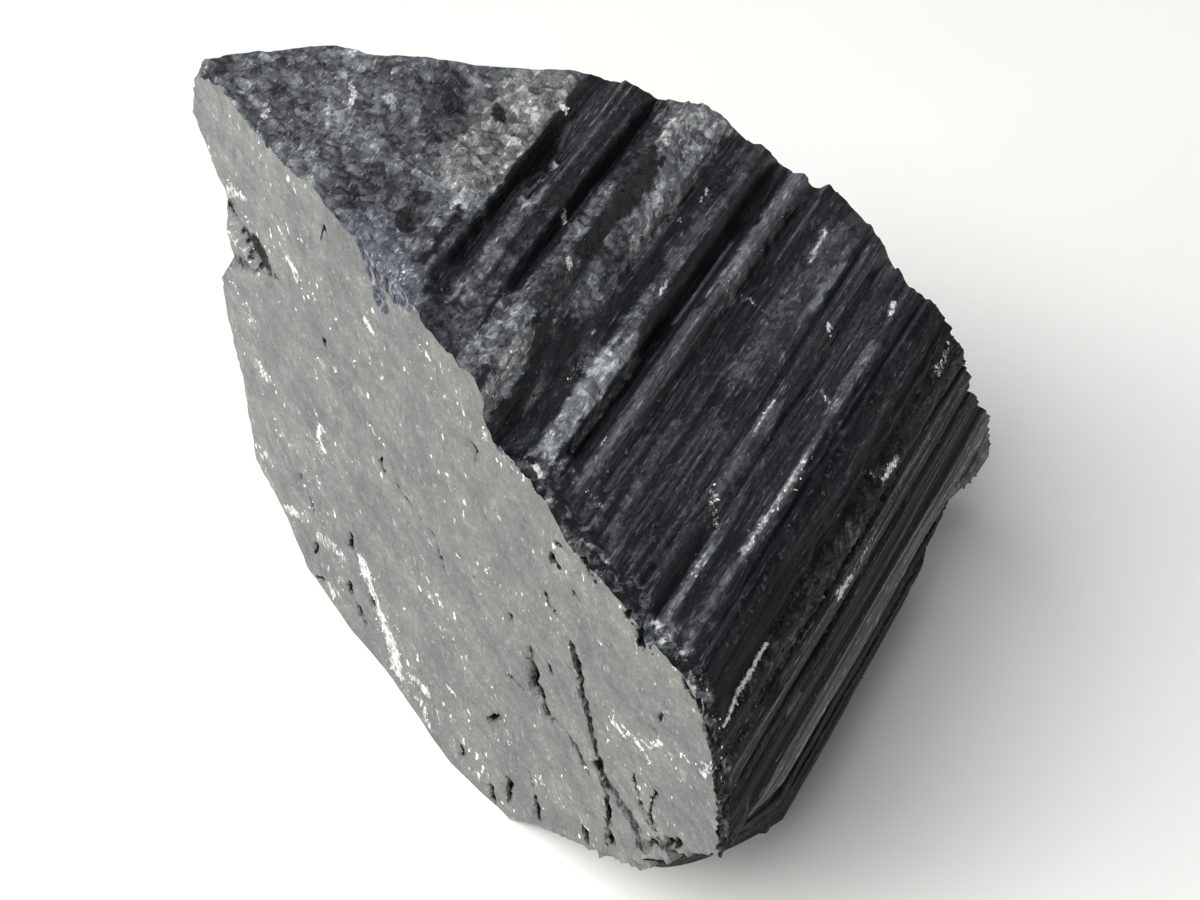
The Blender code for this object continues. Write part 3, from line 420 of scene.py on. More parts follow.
        ((15.2, 14.6), (15.9, 13), 0.9, 0.85), ((15.9, 16.6), (17.4, 15.8), 1.2, 0.75),
        ((15.6, 12.6), (17.6, 15.4), (18.7, 17), 0.7, 1),
        ((10.9, 22.8), (11.4, 20), (12.3, 17.4), (12.9, 15.6), 1, 0.55),
        ((13.4, 12), (13.5, 9.6), 0.7, 0.8), ((10, 15.5), (12.3, 14), 1, 0.62),
        ((7.2, 15), (10.4, 12.5), 3.6, 0.28), ((-15.2, 9.6), (-14.4, 7.8), 1, 0.42),
        # dark strokes along the middle of the recess
        ((-18.3, 28.7), (-16.9, 29.1), (-16.2, 28.4), 1.5, 1.35),
        ((-16.6, 27), (-15.8, 27.6), (-14.9, 28.2), 0.5, 1.3),
        ((-19.4, 25.6), (-18.4, 26.2), (-17.5, 26.4), 1.1, 0.95), ((-20.2, 24.3), (-19.2, 25.6), 0.5, 0.7),
        ((-19.6, 29.6), (-19.2, 30.2), 0.8, 1.3), ((-16.8, 32.5), (-16, 32.9), 0.3, 0.8),
        ((-16.8, 31.9), (-15.8, 32.3), 0.2, 0.7), ((-15.4, 31.6), (-15.2, 32), 0.3, 0.8),
        ((3.6, 3.4), (5.2, 2.4), 1.4, 0.42), ((-8.6, 6.6), (-8.2, 5.6), 1, 0.62),
        ((-1.5, 1.4), (1, 1.8), 1.6, 0.36),
    ],
    # where the crust has broken in over the sawn edge
    "bitten": [
        ((-6, 38.2), (-5.2, 36.6), (-4.75, 35.2), 1.3, 1), ((-4.9, 37.6), (-3.2, 37.4), 2, 1),
        ((-3.6, 36.6), (-1.6, 37.6), 0.7, 0.9), ((5, 35.6), (4.9, 33.6), 0.7, 1),
        ((5.5, 35.2), (6.2, 34.6), 0.8, 1), ((-14, 39), (-16, 38.4), 0.8, 0.8),
    ],
    # crushed white places of the sawn face, partly painted glints: points, width, strength
    "crushGlintSawn": [
        ((-9.1, 9.5), (-8.7, 8), 1.2, 1), ((-8.7, 8.2), (-8.1, 6.8), (-7.6, 5.8), 0.95, 0.96),
        ((-7.7, 5.8), (-6.9, 4.2), 1.4, 0.98), ((-6.9, 4.2), (-6.6, 3.2), (-6.5, 1.6), 1.7, 0.92),
        ((-18.9, 22.6), (-18.5, 20.8), 1, 0.56), ((-14.6, 12.8), (-14.2, 10.4), 0.9, 0.56),
        ((-8.6, 4), (-7.4, 3), 0.6, 0.45), ((-5, 2.8), (-4.1, 3.3), (-3.3, 3.3), 0.9, 0.9),
        ((-3.8, 1.8), (-3.1, 0.9), 1, 0.8), ((-2.2, 2.9), (-2, 2.3), 0.5, 0.7),
        ((-14, 6.4), (-12.7, 7.2), (-11.4, 7.3), 1.2, 0.74), ((-12, 7.4), (-11.6, 6.4), 0.6, 0.6),
        ((-14.2, 9.4), (-13, 8.4), 0.8, 0.35), ((-17.3, 5.4), (-16.4, 6.1), 1.1, 0.95),
        ((-16.1, 9.2), (-15.9, 8.4), 0.6, 0.6), ((-20.1, 8), (-19.2, 8.7), 0.75, 0.9),
        ((-20, 10.2), (-19.5, 10.3), 0.5, 0.5), ((-13.2, 4.4), (-13.3, 3.4), 0.45, 0.85),
        ((-13.4, 2.3), (-13.1, 1.6), 0.75, 0.85), ((-11.7, 4.8), (-12, 4.2), 0.4, 0.7),
        ((-12.1, 18.4), (-12.6, 17.4), (-12.1, 16.4), 0.75, 0.95),
        ((-12.7, 15.8), (-12.4, 14.8), 1.4, 0.55), ((-12.9, 20), (-12.5, 19.4), 0.4, 0.65),
        ((-13.6, 16.5), (-13.2, 16.2), 0.6, 0.8), ((-18.6, 17.6), (-17.8, 17.2), 1, 0.85),
        ((-18.4, 15.4), (-17.8, 15), 0.7, 0.4), ((-20.9, 18.8), (-20.6, 18.2), 0.9, 0.45),
        ((-16.8, 14), (-17.2, 13.4), 1, 0.22), ((-14.8, 17.8), (-14.5, 17.6), 0.4, 0.7),
        ((-20.2, 23), (-20, 22.7), 0.5, 0.7), ((-13.4, 12.8), (-13.2, 12.4), 0.6, 0.85),
        ((-13.6, 30.7), (-13, 30.4), (-12.9, 30), 0.8, 0.95), ((-11.4, 29.8), (-11, 29.9), 0.4, 0.9),
        ((-6.4, 32.8), (-6, 32.3), (-5.7, 32.4), 0.6, 1), ((-7.1, 31.6), (-6.9, 31.2), 0.7, 0.4),
        ((-12, 33.5), (-11.8, 33.8), 0.32, 1), ((-19.2, 30.9), (-18.6, 31.9), (-17.3, 32.1), 0.9, 0.85),
        ((-18.2, 30.8), (-17.6, 30.2), 0.7, 0.45), ((-19.8, 28), (-19.2, 26.9), (-18.2, 27.2), 1.2, 0.62),
        ((-16.6, 29.7), (-15.3, 29), 0.4, 0.62), ((-20.9, 33.4), (-20.4, 32), 0.8, 0.5),
        ((-10, 29.1), (-10, 28.4), 0.3, 0.8), ((-8, 28), (-7.9, 27.5), 0.35, 0.8),
        ((-9.1, 28.3), (-9, 28), 0.3, 0.7), ((-9.9, 25.6), (-9.9, 25), 0.45, 0.85),
        ((-11.4, 24.8), (-11.3, 24.4), 0.4, 0.7), ((-11.3, 23.6), (-11.2, 23.3), 0.4, 0.6),
        ((-6.6, 23.8), (-6.2, 23.5), 0.45, 0.7), ((-9.7, 18.6), (-9.5, 18.2), 0.5, 0.6),
        ((-5.3, 17.5), (-5.2, 17.2), 0.4, 0.95), ((-2.5, 16.7), (-2.3, 16.2), 0.4, 0.95),
        ((-2.3, 13.7), (-2.1, 13.4), 0.4, 0.9), ((-1.7, 12), (-1.2, 11.9), 0.45, 0.95),
        ((-0.3, 12), (0.1, 12.4), 0.4, 0.7), ((-1.1, 6.5), (-0.4, 6.6), 0.55, 0.95),
        ((-6.8, 6.6), (-6.6, 6.5), 0.3, 0.9), ((-6.1, 6.6), (-5.9, 6.5), 0.3, 0.9),
        ((-1, 35.5), (-0.5, 35.3), 0.4, 0.95), ((3.5, 33.8), (3.9, 33.5), 0.45, 0.95),
        ((0.5, 33.5), (0.7, 33.3), 0.35, 0.8), ((-0.9, 34.2), (-0.4, 32.4), 0.9, 0.25),
        ((3.3, 22.2), (3.6, 22.6), 0.32, 0.9), ((0.7, 20.9), (1.1, 20.9), 0.4, 0.8),
        ((-1.8, 19.2), (-1.5, 19.3), 0.4, 0.8), ((2.8, 19.8), (2.9, 20.3), 0.28, 0.7),
        ((4, 20.8), (4.6, 21.2), 0.3, 0.5), ((4.2, 15.1), (5.4, 15.2), 0.26, 0.75),
        ((12.6, 27), (12.8, 26.7), 0.35, 0.9), ((11.3, 28.5), (11.5, 28.2), 0.3, 0.8),
        ((9, 25.4), (9.6, 25), 0.2, 0.8), ((3.6, 11.6), (3.7, 11.2), 0.45, 0.9),
        ((1, 11.9), (1.2, 11.4), 0.4, 0.6), ((4.3, 9.4), (4.8, 9.1), 0.9, 0.5),
        ((4.6, 8.6), (5, 8.4), 0.4, 0.7), ((7.5, 8.4), (8.1, 8.3), 0.4, 0.8),
        ((3.5, 7.2), (4.1, 6.4), 0.5, 0.4), ((-0.6, 4), (-0.3, 3.7), 0.4, 0.7),
        ((-2, 2.8), (-1.6, 1.6), 0.5, 0.6), ((13.7, 21.5), (14.5, 21.3), 0.6, 0.95),
        ((14.4, 22), (15.4, 22.3), (16.6, 21.8), 0.45, 0.95), ((15.5, 21.9), (16.4, 21.6), 0.25, 1),
        ((15.7, 23), (16.4, 22.7), 0.4, 0.9), ((16.6, 22.9), (16.9, 23.8), (18.4, 24.3), 0.35, 0.85),
        ((18.6, 25.2), (19.5, 25.5), 0.4, 1), ((20.3, 25.8), (20.8, 26.8), 0.6, 0.85),
        ((15.8, 27), (15.9, 26.8), 0.3, 0.8), ((14.2, 26.2), (14.3, 26), 0.3, 0.7),
        ((17.6, 28.6), (17.8, 28.4), 0.35, 0.6), ((15, 28.8), (15.6, 28), 0.9, 0.22),
    ],
}


def lineShare(u, v, points, width, soft):
    return smoothStep((0.5 * width - lineGap(u, v, points)) / soft + 0.5)


def paintStrokes(u, v, start, strokes):
    # paleness and crumbliness after every stroke
    tone, crumb = (np.ones(np.broadcast(u, v).shape) * value for value in start)
    soft = marks["strokeSoft"]
    for *points, width, toneHere, crumbHere in strokes:
        share = lineShare(u, v, points, width, soft + soft * width)
        tone, crumb = mix(tone, toneHere, share), mix(crumb, crumbHere, share)
    return tone, crumb


def drawLines(u, v, tone, lines):
    for *points, width, toneHere in lines:
        tone = mix(tone, toneHere, lineShare(u, v, points, width, marks["lineSoft"]))
    return tone


def strokeShare(u, v, strokes):
    share = np.zeros(np.broadcast(u, v).shape)
    for *points, width, strength in strokes:
        share = np.maximum(share, strength * lineShare(u, v, points, width, 0.5 * width))
    return share


def wandering(u, v, ridges=1.0):
    # places moved so that the strokes' edges wander and their ends run out
    shift = roughSum(u, v, 0.0, marks["wander"])
    streaks = roughSum(u, marks["fingerStretch"] * v, 5.0, marks["fingers"])
    crumbled = marks["crumbledEnds"] * roughSum(u, v, 8.0, marks["wander"])
    return u + mix(1.0, marks["ridgeWander"], ridges) * shift, v + mix(crumbled, streaks, ridges)


def sawnWandering(x, z):
    return x + roughSum(x, z, 7.0, marks["sawnWander"]), z + roughSum(x, z, 9.0, marks["sawnWander"])


def raggedWidth(u, v):
    # how much wider or narrower a crack is at each place
    return np.maximum(marks["crackThinnest"], 1.0 + roughSum(u, v, 3.0, marks["crackRagged"]))


def crackShare(u, v, points, width, ragged):
    return hollow(lineGap(u, v, points), 0.6 * width * ragged)


def behindSaw(x, y):
    return y - sawY(x)


def addRim(tone, crumb, x, y, position, moved, start, paleness):
    # a broken, crumbly rim behind the sawn face, from the start on
    rim = marks["rim"]
    share = smoothStep((rim["reach"] - behindSaw(x, y) + rim["wander"] * (moved - position)) / rim["fade"])
    share = share * smoothStep((position - start) / rim["startFade"])
    patchy = mix(rim["thin"], 1.0, smoothStep(0.5 + 2.0 * rough(position, y, 0.0, rim["patches"])))
    return mix(tone, paleness * patchy, rim["cover"] * share), mix(crumb, 1.0, share), share


# Paleness, crumbliness, crush and painted glints, hue and broken edge of each kind of side

def upperMarks(x, y, _):
    edge = chunk["etchedEdge"][0]
    u, v = wandering(x, y, smoothStep(x - edge))
    etched = smoothStep((edge - u) / marks["etchedFade"] + 0.5)
    start = [mix(*pair, etched) for pair in zip(marks["ridgedStart"], marks["etchedStart"])]
    tone, crumb = paintStrokes(u, v, start, marks["upperStrokes"])
    calmX, calmFade, calmCrumb = marks["calmRidges"]
    crumb = crumb * mix(1.0, calmCrumb, smoothStep((x - calmX) / calmFade))
    tone, crumb, rim = addRim(tone, crumb, x, y, x, u, *marks["rim"]["upper"])
    tone = drawLines(x, y, tone, marks["upperLines"])
    # painted light: the grooves' floors are painted paler, to lift the shade that falls in them
    floor = sum(groove(x, middle, width) * along(y, *ends)
                for middle, width, _, *ends in chunk["upperGrooves"])
    tone = tone + marks["grooveShadeLift"] * clamp(floor) * (1.0 - etched)
    hue = marks["warmHue"] * lineShare(u, v, *marks["warm"]) - lineShare(u, v, *marks["blue"])
    return tone, crumb, strokeShare(x, y, marks["crushGlintUpper"]), hue, rim


def rightMarks(x, y, z):
    u, v = wandering(z, y)
    tone, crumb = paintStrokes(
        mix(z, u, marks["rightWander"]), v, marks["rightStart"], marks["rightStrokes"])
    tone, crumb, rim = addRim(tone, crumb, x, y, z, u, *marks["rim"]["right"])
    tone = drawLines(z, y, tone, marks["rightLines"])
    brownZ, fade = marks["brownBelow"]
    edge = rim - marks["filmSmooth"] * lineShare(z, v, *marks["film"])
    return tone, crumb, strokeShare(z, y, marks["crushGlintRight"]), smoothStep((brownZ - z) / fade), edge


def hiddenMarks(x, y, z):
    # the sides away from the light carry the same crust in loose patches, and a film of dust
    hidden = marks["hidden"]
    tone, shares = hidden["tone"], []
    for bump, stretch, start, fade, paleness in (hidden["patches"], hidden["film"]):
        shares.append(smoothStep((rough(x, stretch * y, z, bump) - start) / fade))
        tone = np.maximum(tone, paleness * shares[-1])
    none = np.zeros(tone.shape)
    return tone, shares[0], none, hidden["hue"] + none, none


def addLines(height, position, y, lines, sign):
    # grooves where the sign is negative and ridges where it isn't, all along Y
    for middle, width, rise, *ends in lines:
        height += sign * rise * groove(position, middle, width) * along(y, *ends)


def addFineRelief(height, position, y, crumb, ridgeShare):
    # crumbs where the skin is etched, and fine sharp ridges elsewhere
    height = height + crumb * roughSum(position, y, 0.0, ("crumbs", "grit"))
    drawn = chunk["fineStretch"] * (y * chunk["striaeStretch"])
    striae = ridged(position, drawn, 0.0, "fineStriae") + ridged(position, drawn, 0.0, "finestStriae")
    return height + (1.0 - chunk["crustHides"] * crumb) * ridgeShare * striae


def upperRelief(x, y, z):
    height = np.zeros(np.broadcast(x, y).shape)
    addLines(height, x, y, chunk["upperGrooves"], -1.0)
    addLines(height, x, y, chunk["upperRidges"], 1.0)
    pocket = chunk["pocket"]
    share, gap = segmentPlace(x, y, pocket["tip"], pocket["mouth"])
    height -= pocket["depth"] * share * hollow(gap, pocket["half"] * mix(pocket["tipShare"], 1.0, share))
    etched = smoothStep((chunk["etchedEdge"][0] - x) / chunk["etchedEdge"][1])
    left, reach = chunk["farCalm"]
    calm = mix(left, 1.0, smoothStep((readLine(chunk["farEdge"], x) - y) / reach))
    height += calm * etched * roughSum(x, y, 0.0, ("etchedLumps", "etchedPits"))
    stretched = y * chunk["striaeStretch"]
    height += (1.0 - etched) * (rough(x, stretched, 0.0, "upperStriae") + rough(x, y, 0.0, "upperWear"))
    knobX, knobY, radius, rise = chunk["knob"]
    height += rise * smoothStep(1.0 - np.hypot(x - knobX, y - knobY) / radius)
    return addFineRelief(height, x, y, calm * upperMarks(x, y, z)[1], 1.0 - etched)


def rightRelief(x, y, z):
    height = np.zeros(np.broadcast(z, y).shape)
    addLines(height, z, y, chunk["rightGrooves"], -1.0)
    height += rough(z, y * chunk["striaeStretch"], 0.0, "rightStriae")
    left, calmY, fade = chunk["nearCalm"]
    calm = mix(left, 1.0, smoothStep((y - calmY) / fade))
    height += calm * groove(z, *chunk["brokenBand"]) * rough(z, y, 0.0, "rightWear")
    return addFineRelief(height, z, y, calm * rightMarks(x, y, z)[1], chunk["rightFine"])


def hiddenRelief(x, y, z):
    lifted = smoothStep((z - chunk["lift"][0]) / chunk["lift"][1])
    behind = smoothStep(behindSaw(x, y) / chunk["sawnEdgeFade"])
    stretched = y * chunk["striaeStretch"]
    height = rough(x, stretched, z, "hiddenStriae") + rough(x, y, z, "hiddenWear")
    crumb = hiddenMarks(x, y, z)[1]
    fine = (1.0 - crumb) * ridged(x, chunk["fineStretch"] * stretched, z, "fineStriae")
    fine += crumb * rough(x, y, z, "crumbs")
    return (height + fine) * lifted * behind


def outlinePoint(index, share, y):
    # the plain outline; the broken corner heals over its length
    following = (index + 1) % len(outline)
    body = mix(outlineBody[index], outlineBody[following], share[..., None])
    sawn = mix(outlineSawn[index], outlineSawn[following], share[..., None])
    chip = chunk["chip"]
    zBody = body[..., 1]
    heal = chip["length"] + chip["spread"] * np.maximum(0.0, chip["cornerHeight"] - zBody)
    curve = mix(1.0, chip["hollow"], clamp(zBody / chip["cornerHeight"]))
    healed = np.zeros(np.broadcast(zBody, y).shape)
    for _ in range(6):  # the saw's place depends on how far the corner has healed
        healed = clamp((y - sawY(mix(sawn[..., 0], body[..., 0], healed))) / heal) ** curve
    x = mix(sawn[..., 0], body[..., 0], healed)
    z = mix(sawn[..., 1], body[..., 1], healed)
    notchY, reach, height, corner, width = chunk["slabNotch"]
    underEdge = groove(index + share, upperCount + corner, width)
    return x, z + height * underEdge * np.exp(-((y - notchY) / reach) ** 2)


def onFaces(place):
    # which places around the outline are on the upper face, the right face and hidden sides
    upper, hidden = place < upperCount - 1, place >= showingCorners
    return upper, ~upper & ~hidden, hidden


def sidePoint(index, share, direction, y):
    x, z = outlinePoint(index, share, y)
    index, share, y = np.broadcast_arrays(index, share, y)
    rise = np.zeros(x.shape)
    for chosen, relief in zip(onFaces(index + share), (upperRelief, rightRelief, hiddenRelief)):
        rise[chosen] = relief(x[chosen], y[chosen], z[chosen])
    foot, fade = chunk["edgeFoot"]
    bitten = smoothStep(1.0 - behindSaw(x, y) / chunk["edgeReach"]) * smoothStep((z - foot) / fade)
    rise -= bitten * np.maximum(0.0, roughSum(x, y, z, ("edgeBites", "edgeCrumbs")))
    return x + direction[..., 0] * rise, z + direction[..., 1] * rise


def readLine(points, position):
    return np.interp(position, [point[0] for point in points], [point[1] for point in points])


def recessShare(x, z):
    recess = chunk["recess"]
    share, gap = segmentPlace(x, z, recess["outer"], recess["inner"])
    half = recess["half"] * mix(1.0, recess["tipShare"], share)
    return 4.0 * share * (1.0 - share) * hollow(gap, half)


def sawnRelief(x, z):
    out = roughSum(x, z, 0.0, ("sawnWaves", "sawnMarks"))
    rise, middle, reach, height = chunk["footSwell"]
    out += rise * smoothStep(1.0 - np.abs(x - middle) / reach) * smoothStep(1.0 - z / height)
    u, v = sawnWandering(x, z)
    ragged = raggedWidth(u, v)
    sunk = np.zeros(out.shape)
    for *points, width, depth, _ in marks["cracks"]:
        sunk = np.maximum(sunk, depth * crackShare(u, v, points, width, ragged))
    out -= sunk
    sunken = recessShare(x, z)
    out -= chunk["recess"]["depth"] * sunken - sunken * ridged(x + z, z - x, 0.0, "recessHackles")
    crumbs = np.abs(rough(x, z, 2.0, "crumbs"))
    crushGlintMarked, bitten = strokeShare(x, z, marks["crushGlintSawn"]), strokeShare(u, v, marks["bitten"])
    bite, crumbBite = chunk["bite"]
    return out - chunk["crushRough"] * crushGlintMarked * crumbs - bitten * (bite + crumbBite * crumbs)


def nearY(x, z):
    return sawY(x) - sawnRelief(x, z)


def farShape(x, z):
    # the break without its roughness, and the share of it that is well inside its rim
    drop = np.maximum(0.0, readLine([corner[0] for corner in chunk["upper"]], x) - z)
    leanLeft, leanRight, changeX, fade = chunk["farLean"]
    lean = mix(leanLeft, leanRight, smoothStep((x - changeX) / fade))
    leaning = readLine(chunk["farEdge"], x) + lean * drop
    middle, turn, undercut, foot = chunk["back"]
    back = middle + turn * x - undercut * np.maximum(0.0, foot - z)
    for scoopX, scoopZ, radius, depth in chunk["farScoops"]:
        reach = np.hypot(x - scoopX, z - scoopZ) / radius
        back = back - depth * np.maximum(0.0, 1.0 - reach ** 2)
    right = readLine(chunk["rightEnd"], z)
    rising = right + chunk["rightEndRise"] * np.maximum(0.0, chunk["rightFaceX"] - x)
    y = np.minimum(np.minimum(leaning, back), rising)
    beside = smoothStep((x - chunk["rightFaceX"]) / chunk["rightEndFade"] + 1.0)
    return mix(y, right, beside), smoothStep(drop / chunk["rimFade"]) * (1.0 - beside)


def farY(x, z):
    y, inner = farShape(x, z)
    # roughness would draw out to strings where the end turns away steeply
    step = chunk["slopeStep"]
    slope = np.hypot(farShape(x + step, z)[0] - y, farShape(x, z + step)[0] - y) / step
    calm = 1.0 / (1.0 + slope ** 2)
    y = y + inner * calm * roughSum(x, z, 0.0, ("farLumps", "farGrain"))
    y = y + calm * rough(x, z, 0.0, "farRim")
    fine = ridged(x, z, 0.0, "farHackles") + rough(x, z, 0.0, "farGrit")
    rimRough = chunk["rimRough"]
    return y + (rimRough + (1.0 - rimRough) * inner) * calm * fine


def makeStrips():
    # strips around the outline, each as its corner's index and the share of the way on
    indices, shares = [], []
    base = upperCount + len(chunk["right"])
    for index in range(len(outline)):
        following = (index + 1) % len(outline)
        length = max(np.linalg.norm(corners[following] - corners[index])
                     for corners in (outlineSawn, outlineBody))
        pitch = chunk["fineStrip"] if index < showingCorners else chunk["coarseStrip"]
        pitch = chunk["baseStrip"] if index == base else pitch
        count = max(1, round(length / pitch))
        indices.extend([index] * count)
        shares.extend(step / count for step in range(count))
    return np.array(indices), np.array(shares)


def outwardDirections(index, share):
    # outward direction of each strip in the outline's plane, softened across corners
    behindAll = np.full(index.shape, 30.0)  # where the broken corner has healed
    points = np.stack(outlinePoint(index, share, behindAll), axis=1)
    ahead = np.roll(points, -1, axis=0) - points
    normals = np.stack([-ahead[:, 1], ahead[:, 0]], axis=1)
    gaps = ((points[:, None] - points[None]) ** 2).sum(axis=2)
    total = np.exp(-gaps / chunk["cornerSoftness"] ** 2) @ normals
    return total / np.linalg.norm(total, axis=1)[:, None]


def insideOutline(x, z, polygon):
    crossed = np.zeros(x.shape, bool)
    for (x1, z1), (x2, z2) in zip(polygon, np.roll(polygon, -1, axis=0)):
        if z1 != z2:
            crossed ^= ((z1 > z) != (z2 > z)) & (x < x1 + (z - z1) / (z2 - z1) * (x2 - x1))
    return crossed


def crackPoints(points, width):
    # rows of points along the crack's bottom and along both its edges
    placed = []
    for start, end in zip(points, points[1:]):
        start, end = np.array(start), np.array(end)
        length = np.linalg.norm(end - start)
        across = np.array([start[1] - end[1], end[0] - start[0]]) / length * width
        steps = max(1, round(length / chunk["crackPitch"]))
        for step in range(steps):
            middle = mix(start, end, (step + 0.5) / steps)
            placed.extend(middle + side * across for side in (-0.52, -0.2, 0.2, 0.52))
    return placed


def capPoints(polygon, pitch, cracks):
    # inner points of a cap: a staggered, slightly uneven grid, and points along the cracks
    low, high = polygon.min(axis=0), polygon.max(axis=0)
    rowShare, uneven, crackClear, rimClear = 0.87, 0.22 * pitch, 0.42 * pitch, 0.45 * pitch
    rows = np.arange(1, int((high[1] - low[1]) / (rowShare * pitch)) + 1)
    columns = np.arange(int((high[0] - low[0]) / pitch) + 1)
    row, column = np.meshgrid(rows, columns, indexing="ij")
    x = low[0] + (column + 0.5 * (row % 2)) * pitch + rough(row * 1.0, column * 1.0, 0.0, (uneven, 0.7, 1.0))
    z = low[1] + row * rowShare * pitch + rough(row * 1.0, column * 1.0, 0.0, (uneven, 0.7, 2.0))
    grid = np.stack((x.ravel(), z.ravel()), axis=1)
    kept = []
    for *points, width, _, _ in cracks:
        for place in crackPoints(points, width):
            if not kept or np.min(np.linalg.norm(np.array(kept) - place, axis=1)) > chunk["crackGap"]:
                kept.append(place)
    if kept:
        kept = np.array(kept)
        gaps = np.linalg.norm(grid[:, None] - kept[None], axis=2).min(axis=1)
        grid = np.concatenate((kept, grid[gaps > crackClear]))
    rimGap = np.concatenate([
        np.linalg.norm(part[:, None] - polygon[None], axis=2).min(axis=1)
        for part in np.array_split(grid, 20)
    ])
    return grid[(rimGap > rimClear) & insideOutline(grid[:, 0], grid[:, 1], polygon)]


def fillCap(rim, surface, pitch, cracks):
    # inner vertices of one end and the triangles that join them to its rim
    polygon = rim[:, [0, 2]]
    inner = capPoints(polygon, pitch, cracks)
    flat = [Vector(place) for place in np.concatenate((polygon, inner)).tolist()]
    edges = [(step, (step + 1) % len(rim)) for step in range(len(rim))]
    result = geometry.delaunay_2d_cdt(flat, edges, [], 1, 1e-6)
    if len(result[0]) != len(flat):
        print("cap: the rim crosses itself,", len(result[0]) - len(flat), "points changed")
    origins = [origin[0] if origin else -1 for origin in result[3]]
    triangles = np.array([[origins[corner] for corner in face] for face in result[2]])
    triangles = triangles[(triangles >= 0).all(axis=1)]
    vertices = np.stack((inner[:, 0], surface(inner[:, 0], inner[:, 1]), inner[:, 1]), axis=1)
    return vertices, triangles


def toObject(name, vertices, faces):
    mesh = bpy.data.meshes.new(name)
    mesh.from_pydata(vertices, [], faces)
    thing = bpy.data.objects.new(name, mesh)
    bpy.context.scene.collection.objects.link(thing)
    return thing


def buildSides():
    # places around the outline, and the points of every strip from the sawn face to the break
    index, share = makeStrips()
    direction = outwardDirections(index, share)
    ends = []
    for surface in (nearY, farY):
        y = np.zeros(index.shape)
        for _ in range(12):  # until the strip's end lies on the surface
            y = surface(*sidePoint(index, share, direction, y))
        ends.append(y)
    steps = np.linspace(0.0, 1.0, chunk["rows"] + 1)
    y = mix(ends[0][:, None], ends[1][:, None], steps[None])
    x, z = sidePoint(index[:, None], share[:, None] + 0.0 * y, direction[:, None], y)
    return index + share, np.stack((x, y, z), axis=-1)


def paintSides(painted, place, sides):
    # the first of the painted values, in order, are those that every side's marks give
    count = sides.shape[0] * sides.shape[1]
    x, y, z = sides.reshape(-1, 3).T
    faces = onFaces(np.repeat(place, sides.shape[1]))
    for chosen, marksHere in zip(faces, (upperMarks, rightMarks, hiddenMarks)):
        for name, values in zip(painted, marksHere(x[chosen], y[chosen], z[chosen])):
            painted[name][:count][chosen] = values
    # crumbs lie loose on the crust, but not at the sawn edge, the far edge or under the chunk
    upper, _, hidden = faces
    loose = marks["loose"]
    clear = smoothStep((behindSaw(x, y) - loose["fromSaw"]) / loose["fade"])
    crumbs = painted["crumb"][:count] * clear * np.where(hidden, loose["hidden"], 1.0)
    crumbs = np.maximum(crumbs, loose["onRim"] * painted["edge"][:count])
    farGap = readLine(chunk["farEdge"], x) - y
    beforeFar = np.where(upper, smoothStep(farGap / loose["farFade"] - loose["farStart"]), 1.0)
    painted["loose"][:count] = crumbs * (beforeFar * smoothStep((z - loose["fromFloor"]) / loose["fade"]))


def paintSawnFace(painted, numbers, x, z):
    u, v = sawnWandering(x, z)
    ragged = raggedWidth(u, v)
    crack, halo = np.zeros(x.shape), np.zeros(x.shape)
    widened, wider = marks["haloWidth"]
    for *points, width, _, darkness in marks["cracks"]:
        crack = np.maximum(crack, darkness * crackShare(u, v, points, width, ragged))
        around = crackShare(u, v, points, widened * width + wider, ragged)
        halo = np.maximum(halo, marks["crackHalo"] * darkness * around)
    # marks in the recess run down its slanting wall, so they are stretched with its depth
    depth = chunk["recess"]["depth"] * recessShare(x, z)
    u, v = u + marks["recessStretch"][0] * depth, v + marks["recessStretch"][1] * depth
    stain, bitten, crush = (strokeShare(u, v, marks[name]) for name in ("stains", "bitten", "crushGlintSawn"))
    for name, values in (("crack", crack), ("stain", halo), ("stain", stain), ("bitten", bitten),
                         ("crush", crush)):
        painted[name][numbers] = np.maximum(painted[name][numbers], values)


def finishMesh(mesh):
    # faces turned outward and cut into triangles, shaded smooth except at sharp edges
    solid = bmesh.new()
    solid.from_mesh(mesh)
    bmesh.ops.recalc_face_normals(solid, faces=solid.faces[:])
    bmesh.ops.triangulate(solid, faces=solid.faces[:])
    openEdges = sum(1 for edge in solid.edges if not edge.is_manifold)
    print("chunk:", len(solid.faces), "triangles,", openEdges, "open edges, volume",
          round(solid.calc_volume() * 1e6, 2), "cm3")
    solid.to_mesh(mesh)
    solid.free()
    mesh.shade_smooth()
    mesh.set_sharp_from_angle(angle=math.radians(chunk["sharpAngle"]))


